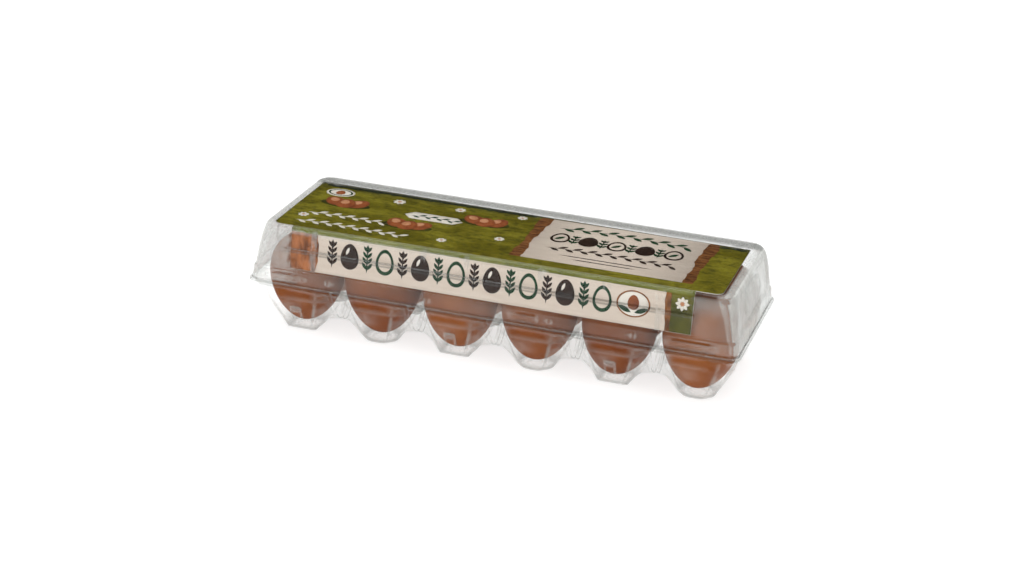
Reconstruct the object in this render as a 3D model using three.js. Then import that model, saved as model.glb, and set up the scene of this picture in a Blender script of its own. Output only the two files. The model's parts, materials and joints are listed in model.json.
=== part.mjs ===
// Clear hinged egg carton, shut, with two rows of brown eggs and a printed card inside its lid.
// Millimetres. X runs along the carton, Y goes back to its hinge, Z up; the feet stand on Z = 0.
import * as THREE from 'three';

// Carton
const EGGS_ALONG = 6;
const PITCH = 48; // between neighbouring eggs, both ways
const WALL = 0.6; // moulded sheet
const GAP = 0.3; // between pieces that would touch
const HEIGHT = 69.5;
const FLANGE_HALF_X = 147.5;
const FLANGE_HALF_Y = 52;
const FLANGE_CORNER = 9;
const MOUTH_HALF_X = 144.5; // where the tray's cups meet its flange
const MOUTH_HALF_Y = 49.6;
const MOUTH_CORNER = 5;
const TRAY_FLANGE_Z = 34.3; // middle of the tray's flange sheet
const LID_FLANGE_Z = TRAY_FLANGE_Z + WALL + GAP;
const LIP_DROP = 1.7; // the tray's flange turns down at its edge

// Tray cups
const SEGMENTS = 6; // straight pieces along each side of a cell
const FOOT_HALF = 9; // square foot, from its middle to a side
const FOOT_POWER = 5; // how square the foot is
const CUP_LOW = {radius: 14.8, z: 8, share: 0.72};
const CUP_MID = {radius: 20.2, z: 20, share: 0.92};
const CUP_HIGH = {radius: 23.2, z: 28.5, share: 0.985};
const CROSS_SADDLE_Z = 8; // web between neighbours in a row, at its lowest
const MIDDLE_SADDLE_Z = 11; // web between the two rows, behind each cup
const POST_TOP_Z = 30; // posts where four cups meet
const SCALLOP_POWER = 1.8;

// Lid: half length, half width and corner radius at each height
const LID_RINGS = [
  {z: LID_FLANGE_Z, x: FLANGE_HALF_X, y: FLANGE_HALF_Y, corner: 9},
  {z: LID_FLANGE_Z, x: 145.4, y: 50.4, corner: 8},
  {z: 42.6, x: 144.7, y: 49.8, corner: 8},
  {z: 43.6, x: 143.6, y: 49.1, corner: 8},
  {z: 55.4, x: 141.6, y: 48.1, corner: 9},
  {z: 61.5, x: 140.1, y: 47.5, corner: 10},
  {z: 67.6, x: 138.0, y: 46.6, corner: 11},
  {z: HEIGHT - WALL / 2, x: 136.2, y: 45.2, corner: 11},
];
const LID_FRONT_PIECES = 12; // straight pieces along a long side
const LID_END_PIECES = 4;
const CORNER_PIECES = 4;

// Card label inside the lid
const CARD = 0.45;
const LABEL_TOP_Z = HEIGHT - WALL - GAP - CARD / 2;
const LABEL_LEFT = -134.5;
const LABEL_RIGHT = 132.8;
const LABEL_BACK_LEFT_Y = 34;
const LABEL_BACK_RIGHT_Y = 28;
const FLAP_LEFT = -122;
const FLAP_RIGHT = 118;
const FLAP_PIECES = 10;
const FOLD_Y = -42.6;
const LABEL_CORNER = 9;
// The flap's rows, from the fold down to its free edge
const FLAP_ROWS = [
  {y: -44.2, z: 67.9},
  {y: -45.0, z: 66.4},
  {y: -46.4, z: 55},
  {y: -47.5, z: 43.8},
];

// Eggs
const EGG_RADIUS = 22.2;
const EGG_HALF = 28.7; // half its height
const EGG_LOW_Z = 3.5;
const EGG_TAPER = 0.13; // small end down
const EGG_SIDES = 18;
const EGG_BANDS = 9;
const RADIUS_SPREAD = 0.45;
const HALF_SPREAD = 0.9;
const TAPER_SPREAD = 0.035;
const TILT_SPREAD = THREE.MathUtils.degToRad(2.5);
const EGG_SEED = 41;

const CLEAR = {color: 0xe9eceb, roughness: 0.08, metalness: 0, transparent: true, opacity: 0.3};
const EGG_BROWNS = [0xa2603c, 0x985633, 0xa86643];

// A list of points and triangles; points that fall together are kept once
function newSheet() {
  return {points: [], faces: [], seen: new Map()};
}

function addPoint(sheet, x, y, z) {
  const key = [x, y, z].map((v) => Math.round(v * 1000)).join(' ');
  if (!sheet.seen.has(key)) {
    sheet.seen.set(key, sheet.points.length);
    sheet.points.push(new THREE.Vector3(x, y, z));
  }
  return sheet.seen.get(key);
}

function addFace(sheet, a, b, c) {
  if (a !== b && b !== c && c !== a) sheet.faces.push([a, b, c]);
}

// Joins two rings of points; its faces look down where the second ring is the wider one
function joinRings(sheet, inner, outer, closed = true) {
  const count = inner.length;
  const last = closed ? count : count - 1;
  for (let i = 0; i < last; i += 1) {
    const j = (i + 1) % count;
    addFace(sheet, inner[i], inner[j], outer[j]);
    addFace(sheet, inner[i], outer[j], outer[i]);
  }
}

function faceNormal(points, [a, b, c]) {
  const side = points[b].clone().sub(points[a]);
  const other = points[c].clone().sub(points[a]);
  return side.cross(other).normalize();
}

// The short step from a point that stays the same distance from every face round it
function stepOff(normals, distance) {
  const steady = 1e-4;
  const m = [steady, 0, 0, 0, steady, 0, 0, 0, steady];
  const sum = new THREE.Vector3();
  for (const n of normals) {
    const v = n.toArray();
    for (let row = 0; row < 3; row += 1) {
      for (let col = 0; col < 3; col += 1) m[row * 3 + col] += v[row] * v[col];
    }
    sum.add(n);
  }
  const inverse = new THREE.Matrix3().set(...m).invert();
  const step = sum.multiplyScalar(distance).applyMatrix3(inverse);
  return step.clampLength(distance, distance * 1.6);
}

// Gives a sheet its thickness: one skin each side of it and a wall round every free edge
function thicken(sheet, thickness) {
  const around = sheet.points.map(() => []);
  for (const face of sheet.faces) {
    const normal = faceNormal(sheet.points, face);
    for (const corner of face) around[corner].push(normal);
  }
  const steps = around.map((normals) => stepOff(normals, thickness / 2));
  const count = sheet.points.length;
  const outside = sheet.points.map((p, i) => p.clone().add(steps[i]));
  const inside = sheet.points.map((p, i) => p.clone().sub(steps[i]));
  const faces = [];
  const edges = new Map();
  for (const [a, b, c] of sheet.faces) {
    faces.push([a, b, c], [c + count, b + count, a + count]);
    for (const [from, to] of [[a, b], [b, c], [c, a]]) edges.set(`${from} ${to}`, [from, to]);
  }
  for (const [from, to] of edges.values()) {
    if (edges.has(`${to} ${from}`)) continue;
    faces.push([to, from, from + count], [to, from + count, to + count]);
  }
  return toGeometry([...outside, ...inside], faces);
}

function toGeometry(points, faces) {
  const geometry = new THREE.BufferGeometry();
  const flat = points.flatMap((p) => p.toArray());
  geometry.setAttribute('position', new THREE.Float32BufferAttribute(flat, 3));
  geometry.setIndex(faces.flat());
  geometry.computeVertexNormals();
  return geometry;
}

// Rounded rectangle, anticlockwise from the right end, the same number of points at any size
function ringOutline({x, y, corner}) {
  const outline = [];
  const line = (x0, y0, x1, y1, pieces) => {
    for (let i = 1; i < pieces; i += 1) {
      outline.push([THREE.MathUtils.lerp(x0, x1, i / pieces), THREE.MathUtils.lerp(y0, y1, i / pieces)]);
    }
  };
  const arc = (cx, cy, start) => {
    for (let i = 0; i <= CORNER_PIECES; i += 1) {
      const angle = start + (i / CORNER_PIECES) * (Math.PI / 2);
      outline.push([cx + corner * Math.cos(angle), cy + corner * Math.sin(angle)]);
    }
  };
  const inX = x - corner;
  const inY = y - corner;
  line(x, -inY, x, inY, LID_END_PIECES);
  arc(inX, inY, 0);
  line(inX, y, -inX, y, LID_FRONT_PIECES);
  arc(-inX, inY, Math.PI / 2);
  line(-x, inY, -x, -inY, LID_END_PIECES);
  arc(-inX, -inY, Math.PI);
  line(-inX, -y, inX, -y, LID_FRONT_PIECES);
  arc(inX, -inY, -Math.PI / 2);
  return outline;
}

function addRing(sheet, ring) {
  return ringOutline(ring).map(([x, y]) => addPoint(sheet, x, y, ring.z));
}

function easeBetween(low, high, share) {
  return low + (high - low) * (0.5 - 0.5 * Math.cos(Math.PI * share));
}

// Height of the tray where its cells meet each other and the flange
function edgeHeight(x, y) {
  const reachX = Math.abs(x);
  const reachY = Math.abs(y);
  if (reachX > MOUTH_HALF_X - GAP || reachY > MOUTH_HALF_Y - GAP) return TRAY_FLANGE_Z;
  if (reachY < GAP) {
    const fromCup = Math.abs(((reachX / PITCH) % 1) - 0.5) * 2;
    const endwards = reachX > PITCH * (EGGS_ALONG / 2 - 0.5);
    return easeBetween(MIDDLE_SADDLE_Z, endwards ? TRAY_FLANGE_Z : POST_TOP_Z, fromCup);
  }
  const row = PITCH / 2;
  if (reachY < row) return easeBetween(CROSS_SADDLE_Z, POST_TOP_Z, 1 - reachY / row);
  const outwards = (reachY - row) / (MOUTH_HALF_Y - row);
  return CROSS_SADDLE_Z + (TRAY_FLANGE_Z - CROSS_SADDLE_Z) * outwards ** SCALLOP_POWER;
}

// The four sides of a cell as points round its middle
function cellOutline(left, right, low, high, cx, cy) {
  const stop = (from, middle, to, i) => {
    const half = SEGMENTS / 2;
    if (i <= half) return THREE.MathUtils.lerp(from, middle, i / half);
    return THREE.MathUtils.lerp(middle, to, (i - half) / half);
  };
  const outline = [];
  for (let i = 0; i < SEGMENTS; i += 1) outline.push([stop(left, cx, right, i), low]);
  for (let i = 0; i < SEGMENTS; i += 1) outline.push([right, stop(low, cy, high, i)]);
  for (let i = 0; i < SEGMENTS; i += 1) outline.push([stop(right, cx, left, i), high]);
  for (let i = 0; i < SEGMENTS; i += 1) outline.push([left, stop(high, cy, low, i)]);
  return outline;
}

// Reach of a square foot in one direction; every other foot is turned to stand on its corner
function footReach(angle, turned) {
  const a = angle + (turned ? Math.PI / 4 : 0);
  const c = Math.abs(Math.cos(a)) ** FOOT_POWER;
  const s = Math.abs(Math.sin(a)) ** FOOT_POWER;
  return FOOT_HALF / (c + s) ** (1 / FOOT_POWER);
}

function addCell(sheet, column, row) {
  const cx = (column - (EGGS_ALONG - 1) / 2) * PITCH;
  const cy = (row - 0.5) * PITCH;
  const left = column === 0 ? -MOUTH_HALF_X : cx - PITCH / 2;
  const right = column === EGGS_ALONG - 1 ? MOUTH_HALF_X : cx + PITCH / 2;
  const low = row === 0 ? -MOUTH_HALF_Y : 0;
  const high = row === 0 ? 0 : MOUTH_HALF_Y;
  const turned = (column + row) % 2 === 1;
  const outline = cellOutline(left, right, low, high, cx, cy);
  const floor = WALL / 2;
  const edge = outline.map(([x, y]) => addPoint(sheet, ...roundedMouth(x, y), edgeHeight(x, y)));
  const ringAt = ({radius, z, share}) => outline.map(([x, y]) => {
    const away = Math.hypot(x - cx, y - cy);
    const reach = Math.min(radius, share * away) / away;
    const height = Math.min(z, floor + share * (edgeHeight(x, y) - floor));
    return addPoint(sheet, cx + (x - cx) * reach, cy + (y - cy) * reach, height);
  });
  const foot = outline.map(([x, y]) => {
    const angle = Math.atan2(y - cy, x - cx);
    const reach = footReach(angle, turned);
    return addPoint(sheet, cx + reach * Math.cos(angle), cy + reach * Math.sin(angle), floor);
  });
  const middle = addPoint(sheet, cx, cy, floor);
  const rings = [foot, ringAt(CUP_LOW), ringAt(CUP_MID), ringAt(CUP_HIGH), edge];
  foot.forEach((point, i) => addFace(sheet, middle, foot[(i + 1) % foot.length], point));
  for (let i = 1; i < rings.length; i += 1) joinRings(sheet, rings[i - 1], rings[i]);
}

// Moves a point of the mouth's outline onto its rounded corner
function roundedMouth(x, y, halfX = MOUTH_HALF_X, halfY = MOUTH_HALF_Y, corner = MOUTH_CORNER) {
  const overX = Math.abs(x) - (halfX - corner);
  const overY = Math.abs(y) - (halfY - corner);
  if (overX <= 0 || overY <= 0) return [x, y];
  const pull = corner / Math.max(corner, Math.hypot(overX, overY));
  return [
    Math.sign(x) * (halfX - corner + overX * pull),
    Math.sign(y) * (halfY - corner + overY * pull),
  ];
}

// All points round the tray's mouth, in order
function mouthOutline() {
  const columns = [];
  for (let column = 0; column < EGGS_ALONG; column += 1) {
    const cx = (column - (EGGS_ALONG - 1) / 2) * PITCH;
    const left = column === 0 ? -MOUTH_HALF_X : cx - PITCH / 2;
    const right = column === EGGS_ALONG - 1 ? MOUTH_HALF_X : cx + PITCH / 2;
    columns.push(...cellOutline(left, right, -MOUTH_HALF_Y, 0, cx, -PITCH / 2).slice(0, SEGMENTS));
  }
  const endCx = (PITCH * (EGGS_ALONG - 1)) / 2;
  const end = [
    ...cellOutline(0, MOUTH_HALF_X, -MOUTH_HALF_Y, 0, endCx, -PITCH / 2).slice(SEGMENTS, 2 * SEGMENTS),
    ...cellOutline(0, MOUTH_HALF_X, 0, MOUTH_HALF_Y, endCx, PITCH / 2).slice(SEGMENTS, 2 * SEGMENTS),
  ];
  const half = [...columns, ...end];
  return [...half, ...half.map(([x, y]) => [-x, -y])];
}

function trayGeometry() {
  const sheet = newSheet();
  for (let row = 0; row < 2; row += 1) {
    for (let column = 0; column < EGGS_ALONG; column += 1) addCell(sheet, column, row);
  }
  const outline = mouthOutline();
  const ringOut = (halfX, halfY, z) => outline.map(([x, y]) => {
    const wideX = (x * halfX) / MOUTH_HALF_X;
    const wideY = (y * halfY) / MOUTH_HALF_Y;
    return addPoint(sheet, ...roundedMouth(wideX, wideY, halfX, halfY, FLANGE_CORNER), z);
  });
  const mouth = outline.map(([x, y]) => addPoint(sheet, ...roundedMouth(x, y), TRAY_FLANGE_Z));
  const edgeX = FLANGE_HALF_X - WALL / 2;
  const edgeY = FLANGE_HALF_Y - WALL / 2;
  const flange = ringOut(edgeX, edgeY, TRAY_FLANGE_Z);
  const lip = ringOut(edgeX, edgeY, TRAY_FLANGE_Z - LIP_DROP);
  joinRings(sheet, mouth, flange);
  joinRings(sheet, flange, lip);
  return thicken(sheet, WALL);
}

function lidGeometry() {
  const sheet = newSheet();
  const rings = LID_RINGS.map((ring) => addRing(sheet, ring));
  for (let i = 1; i < rings.length; i += 1) joinRings(sheet, rings[i - 1], rings[i]);
  const top = rings[rings.length - 1];
  const flat = top.map((i) => new THREE.Vector2(sheet.points[i].x, sheet.points[i].y));
  for (const [a, b, c] of THREE.ShapeUtils.triangulateShape(flat, [])) {
    addFace(sheet, top[a], top[b], top[c]);
  }
  return thicken(sheet, WALL);
}

function labelGeometry() {
  const sheet = newSheet();
  const xs = Array.from({length: FLAP_PIECES + 1}, (_, i) => (
    THREE.MathUtils.lerp(FLAP_LEFT, FLAP_RIGHT, i / FLAP_PIECES)));
  const top = new THREE.Shape();
  top.moveTo(FLAP_LEFT, FOLD_Y);
  for (const x of xs.slice(1)) top.lineTo(x, FOLD_Y);
  top.lineTo(LABEL_RIGHT - LABEL_CORNER, FOLD_Y);
  top.quadraticCurveTo(LABEL_RIGHT, FOLD_Y, LABEL_RIGHT, FOLD_Y + LABEL_CORNER);
  top.lineTo(LABEL_RIGHT, LABEL_BACK_RIGHT_Y);
  top.lineTo(LABEL_LEFT, LABEL_BACK_LEFT_Y);
  top.lineTo(LABEL_LEFT, FOLD_Y + LABEL_CORNER);
  top.quadraticCurveTo(LABEL_LEFT, FOLD_Y, LABEL_LEFT + LABEL_CORNER, FOLD_Y);
  const outline = top.getPoints(4).slice(0, -1);
  const corners = outline.map((p) => addPoint(sheet, p.x, p.y, LABEL_TOP_Z));
  for (const [a, b, c] of THREE.ShapeUtils.triangulateShape(outline, [])) {
    addFace(sheet, corners[a], corners[b], corners[c]);
  }
  const fold = xs.map((x) => addPoint(sheet, x, FOLD_Y, LABEL_TOP_Z));
  const rows = FLAP_ROWS.map(({y, z}) => xs.map((x) => addPoint(sheet, x, y, z)));
  [fold, ...rows].forEach((row, i, all) => {
    if (i > 0) joinRings(sheet, row, all[i - 1], false);
  });
  return thicken(sheet, CARD);
}

// Small repeatable random numbers, from -1 to 1
function scatter(seed) {
  let state = seed;
  return () => {
    state = (state * 16807) % 2147483647;
    return (state / 2147483647) * 2 - 1;
  };
}

// Turned egg: each band's radius is the sine of its place, less on the small end
function eggGeometry(radius, half, taper) {
  const sheet = newSheet();
  const bands = [];
  for (let band = 1; band < EGG_BANDS; band += 1) {
    const place = (Math.PI * band) / EGG_BANDS;
    const reach = radius * Math.sin(place) * (1 - taper * Math.cos(place));
    bands.push(Array.from({length: EGG_SIDES}, (_, i) => {
      const angle = (2 * Math.PI * i) / EGG_SIDES;
      return addPoint(sheet, reach * Math.cos(angle), reach * Math.sin(angle), -half * Math.cos(place));
    }));
  }
  const low = addPoint(sheet, 0, 0, -half);
  const high = addPoint(sheet, 0, 0, half);
  for (let i = 0; i < EGG_SIDES; i += 1) {
    const j = (i + 1) % EGG_SIDES;
    addFace(sheet, low, bands[0][j], bands[0][i]);
    addFace(sheet, high, bands[bands.length - 1][i], bands[bands.length - 1][j]);
  }
  for (let band = 1; band < bands.length; band += 1) joinRings(sheet, bands[band - 1], bands[band]);
  return toGeometry(sheet.points, sheet.faces);
}

function makeMesh(name, geometry, finish) {
  const mesh = new THREE.Mesh(geometry, new THREE.MeshStandardMaterial(finish));
  mesh.name = name;
  return mesh;
}

function makeEggs() {
  const eggs = [];
  const next = scatter(EGG_SEED);
  for (let index = 0; index < 2 * EGGS_ALONG; index += 1) {
    const column = index % EGGS_ALONG;
    const row = Math.floor(index / EGGS_ALONG);
    const half = EGG_HALF + HALF_SPREAD * next();
    const geometry = eggGeometry(
      EGG_RADIUS + RADIUS_SPREAD * next(), half, EGG_TAPER + TAPER_SPREAD * next());
    geometry.rotateX(TILT_SPREAD * next());
    geometry.rotateY(TILT_SPREAD * next());
    geometry.translate(
      (column - (EGGS_ALONG - 1) / 2) * PITCH, (row - 0.5) * PITCH, EGG_LOW_Z + half);
    const color = EGG_BROWNS[index % EGG_BROWNS.length];
    eggs.push(makeMesh(`egg_${index + 1}`, geometry, {color, roughness: 0.55, metalness: 0}));
  }
  return eggs;
}

const group = new THREE.Group();
group.name = 'egg_carton';
group.add(makeMesh('tray', trayGeometry(), CLEAR));
group.add(makeMesh('lid', lidGeometry(), CLEAR));
group.add(makeMesh('label', labelGeometry(), {color: 0x8a8a4c, roughness: 0.6, metalness: 0}));
group.add(...makeEggs());

export default group;
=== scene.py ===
# %% [markdown]
# # A clear egg carton with two rows of brown eggs
#
# The real carton is two thin sheets of clear plastic, pressed over moulds: a tray of cups and a lid,
# joined along the back edge. A printed card lies under the lid and folds down behind its front wall.
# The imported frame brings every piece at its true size. Each step below makes one of those pieces
# again as a fine surface, in millimetres, and puts it where the frame holds it.

# %% Load the frame
import json
import math

import bpy
import numpy as np
from mathutils import Matrix, Vector


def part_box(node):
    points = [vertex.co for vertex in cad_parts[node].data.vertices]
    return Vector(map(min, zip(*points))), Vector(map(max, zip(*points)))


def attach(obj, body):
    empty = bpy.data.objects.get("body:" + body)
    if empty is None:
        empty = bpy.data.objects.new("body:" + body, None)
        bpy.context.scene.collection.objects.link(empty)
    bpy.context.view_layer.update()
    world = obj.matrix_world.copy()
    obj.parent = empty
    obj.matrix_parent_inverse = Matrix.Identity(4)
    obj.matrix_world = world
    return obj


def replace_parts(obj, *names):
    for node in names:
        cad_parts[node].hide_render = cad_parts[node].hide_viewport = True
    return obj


MM = 0.001
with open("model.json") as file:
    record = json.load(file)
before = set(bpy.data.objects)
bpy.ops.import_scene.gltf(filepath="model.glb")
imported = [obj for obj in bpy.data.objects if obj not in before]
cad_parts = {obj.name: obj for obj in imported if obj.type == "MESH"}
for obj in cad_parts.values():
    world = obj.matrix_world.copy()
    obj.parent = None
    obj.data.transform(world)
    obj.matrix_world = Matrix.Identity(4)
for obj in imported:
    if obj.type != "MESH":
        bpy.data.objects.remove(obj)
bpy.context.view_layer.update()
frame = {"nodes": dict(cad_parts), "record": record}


def box_mm(node):
    """Lowest and highest corner of a node of the frame, in millimetres."""
    low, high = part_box(node)
    return np.array(low) / MM, np.array(high) / MM


tray_low, tray_high = box_mm("tray")
lid_low, lid_high = box_mm("lid")
label_low, label_high = box_mm("label")
print("tray", tray_low, tray_high)
print("lid", lid_low, lid_high)

# %% [markdown]
# ## Meshes from arrays
#
# Every surface here is a grid of points: rows run one way over it, columns the other way. Blender
# can also spin, extrude or sculpt such forms, but a grid worked out by numpy needs no clicking,
# keeps exact sizes, and its rows can be packed where an edge is crisp. Points that fall together,
# such as those at a pole, are welded, so that the finished skin is closed.

# %% Grid, weld and normals
def grid_faces(rows, columns, closed=False):
    """Four-cornered faces between each row of points and the next. Closed joins the last column to
    the first."""
    row, column = np.meshgrid(np.arange(rows - 1), np.arange(columns - (not closed)), indexing="ij")
    beside = (column + 1) % columns
    corners = [row * columns + column, row * columns + beside,
               (row + 1) * columns + beside, (row + 1) * columns + column]
    return np.stack(corners, -1).reshape(-1, 4)


def weld(points, faces, near=0.002):
    """One point where several fall within `near` of a millimetre. A face that loses a corner becomes
    a triangle, written with its last corner twice; one that loses two is dropped."""
    _, first, place = np.unique(np.round(points / near).astype(np.int64), axis=0,
                                return_index=True, return_inverse=True)
    faces = place.ravel()[faces]
    for corner in range(4):
        twice = faces[:, corner] == faces[:, (corner + 1) % 4]
        faces[twice] = np.roll(faces[twice], 2 - corner, axis=1)
    distinct = (np.diff(np.sort(faces, axis=1), axis=1) > 0).sum(1) + 1
    return points[first], faces[distinct >= 3]


def flip(faces):
    """The same faces wound the other way, with a triangle's doubled corner kept last."""
    faces = faces[:, ::-1].copy()
    triangle = faces[:, 0] == faces[:, 1]
    faces[triangle] = np.roll(faces[triangle], -2, axis=1)
    return faces


def merge(parts):
    """Many pairs of points and faces as one pair: all the points in a row, and each part's faces
    counted on from the points before it."""
    starts = np.cumsum([0] + [len(points) for points, _ in parts])
    return (np.concatenate([points for points, _ in parts]),
            np.concatenate([faces + start for (_, faces), start in zip(parts, starts)]))


def point_normals(points, faces):
    """Normal at each point: the sum of the cross products of the diagonals of the faces round it."""
    a, b, c, d = (points[faces[:, k]] for k in range(4))
    normal = np.cross(c - a, d - b)
    total = np.zeros_like(points)
    for axis in range(3):
        for k in range(4):
            total[:, axis] += np.bincount(faces[:, k], normal[:, axis], len(points))
    return total / np.maximum(np.linalg.norm(total, axis=1, keepdims=True), 1e-12)


# %% [markdown]
# A moulded sheet has the same thickness nearly everywhere. The Solidify modifier could give it that;
# moving each point half a wall along its normal, both ways, does the same in a few lines, and the
# free edge is closed by one strip of faces.

# %% Thickness and edges
def thicken(points, faces, wall):
    """Closed shell of a sheet: one skin half a wall out along the normals, one half a wall in, and a
    strip between them along every edge that has a face on one side only."""
    step = point_normals(points, faces) * wall / 2
    count = len(points)
    edges = np.concatenate([faces[:, [k, (k + 1) % 4]] for k in range(4)]).astype(np.int64)
    edges = edges[edges[:, 0] != edges[:, 1]]
    free = edges[~np.isin(edges[:, 0] * count + edges[:, 1], edges[:, 1] * count + edges[:, 0])]
    rim = np.stack([free[:, 1], free[:, 0], free[:, 0] + count, free[:, 1] + count], -1)
    skins = np.concatenate([points + step, points - step])
    return skins, np.concatenate([faces, flip(faces) + count, rim])


def sharpness(points, faces):
    """How tightly the surface bends at each point: the largest turn of the normal along an edge
    from it, divided by that edge's length, in turns of one radian for each millimetre."""
    normal = point_normals(points, faces)
    most = np.zeros(len(points))
    for k in range(4):
        a, b = faces[:, k], faces[:, (k + 1) % 4]
        apart = np.maximum(np.linalg.norm(points[a] - points[b], axis=1), 0.05)
        turn = np.linalg.norm(normal[a] - normal[b], axis=1) / apart
        np.maximum.at(most, a, turn)
        np.maximum.at(most, b, turn)
    return most


def put_piece(name, points, faces, body, slot, material, inside=None, **values):
    """A mesh object from points in millimetres, riding on a body. Each named value holds one number
    for each point and is kept as an attribute that the material can read. A second material goes on
    the inner skin and the rim of a thickened sheet, which are all but the first faces."""
    mesh = bpy.data.meshes.new(name)
    triangle = faces[:, 2] == faces[:, 3]
    mesh.from_pydata(points * MM, [], faces[~triangle].tolist() + faces[triangle, :3].tolist(),
                     shade_flat=False)
    for key, numbers in values.items():
        layer = mesh.attributes.new(key, "FLOAT", "POINT")
        layer.data.foreach_set("value", numbers.astype(np.float32))
    mesh.materials.append(material)
    if inside is not None:
        material_2, outer = inside
        mesh.materials.append(material_2)
        order = np.concatenate([np.flatnonzero(~triangle), np.flatnonzero(triangle)])
        mesh.polygons.foreach_set("material_index", (order >= outer).astype(np.int32))
    piece = bpy.data.objects.new(name, mesh)
    bpy.context.scene.collection.objects.link(piece)
    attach(piece, body)
    print(name, "has", len(points), "points and", len(faces), "faces")
    return piece


# %% [markdown]
# ## Helpers for material nodes
#
# A material is a small network of nodes. These helpers keep each network short to read: one adds a
# node and fills its sockets, one chains a sum or product, one scatters a soft pattern, and one ends
# the network in the matt skin that the eggs and the print share.

# %% Node helpers
class Recipe:
    """A new material with an empty node tree, and short ways to add to it."""

    def __init__(self, name):
        self.material = bpy.data.materials.new(name)
        self.material.use_nodes = True
        self.tree = self.material.node_tree
        self.tree.nodes.clear()
        self.out = self.tree.nodes.new("ShaderNodeOutputMaterial")
        self.place = self.node("ShaderNodeTexCoord").outputs["Object"]

    def node(self, kind, settings=None, **sockets):
        """Adds a node. A socket is named with _ for a space, or i and its number, and takes a value or
        another socket."""
        made = self.tree.nodes.new(kind)
        for key, value in (settings or {}).items():
            setattr(made, key, value)
        for key, value in sockets.items():
            where = int(key[1:]) if key[1:].isdigit() else key.replace("_", " ")
            self.join(made.inputs[where], value)
        return made

    def join(self, socket, value):
        """Links another socket to this one, or sets its value; a colour may leave out its alpha."""
        if isinstance(value, bpy.types.NodeSocket):
            self.tree.links.new(value, socket)
        elif socket.type == "RGBA" and len(value) == 3:
            socket.default_value = (*value, 1.0)
        else:
            socket.default_value = value

    def math(self, operation, a, b=0.0, clamp=False):
        """One sum, product or other step on two numbers."""
        settings = {"operation": operation, "use_clamp": clamp}
        return self.node("ShaderNodeMath", settings, i0=a, i1=b).outputs[0]

    def ramp(self, value, low, high, to_low=0.0, to_high=1.0, kind="SMOOTHSTEP"):
        """value from low to high becomes to_low to to_high."""
        return self.node("ShaderNodeMapRange", {"interpolation_type": kind}, Value=value,
                         i1=low, i2=high, i3=to_low, i4=to_high).outputs["Result"]

    def noise(self, scale, detail=3.0, roughness=0.55, stretch=None):
        """A soft noise, 0 to 1, of about `scale` patches a metre, squeezed by `stretch` each way."""
        place = self.place
        if stretch is not None:
            place = self.node("ShaderNodeMapping", Vector=place, Scale=stretch).outputs[0]
        return self.node("ShaderNodeTexNoise", Vector=place, Scale=scale, Detail=detail,
                         Roughness=roughness, Distortion=0.0).outputs["Fac"]

    def mix(self, share, a, b):
        """Colour a where share is 0 and b where it is 1."""
        return self.node("ShaderNodeMix", {"data_type": "RGBA"}, i0=share, i6=a, i7=b).outputs[2]

    def bump(self, height, distance, strength):
        """A normal that makes `height` look like relief of up to `distance` in metres."""
        made = self.node("ShaderNodeBump", Height=height, Distance=distance, Strength=strength)
        return made.outputs[0]

    def matt(self, colour, shine, relief, depth, strength):
        """A matt skin with a faint shine and a fine relief, as the finished material."""
        skin = self.node("ShaderNodeBsdfPrincipled", Base_Color=colour, Roughness=0.6,
                         Specular_IOR_Level=shine, Normal=self.bump(relief, depth, strength))
        return self.finish(skin.outputs[0])

    def finish(self, shader):
        """Sends the shader to the output and gives back the material."""
        self.tree.links.new(shader, self.out.inputs["Surface"])
        return self.material


def linear(red, green, blue):
    """A screen colour, 0 to 255, as the linear colour that shaders use."""
    screen = np.array([red, green, blue]) / 255
    return tuple(np.where(screen <= 0.04045, screen / 12.92, ((screen + 0.055) / 1.055) ** 2.4))


# %% [markdown]
# ## Clear plastic
#
# Thin clear sheet lets light straight through and mirrors a little of the room: little when seen
# square on, and most of it when seen along the surface. Glass shaders can show that by bending rays,
# but a sheet half a millimetre thick bends nothing that the eye can see, and thin walls behind one
# another turn dark. So each face mixes a Transparent shader with a glossy grey one, by how slantwise
# it is seen. Three numbers kept at each point do the rest: `bend`, where a crisp fold sends light aside
# and shows as a thin dark line, `rim`, a grey painted along sharp edges in place of the light they bend
# and mirror, and the third, a lit milky grey that is partly scuffs and mostly painted reflection.

# %% The clear sheet
# The first grey below is painted reflection and highlight, with a little scuffing; the second is painted
# edge light along sharp edges.
BEND_MIRROR, RIM_GREY = 0.02, 0.45
HAZE_AND_REFLECTION_TONE, RIM_TONE = linear(216, 217, 213), linear(150, 152, 149)


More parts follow.
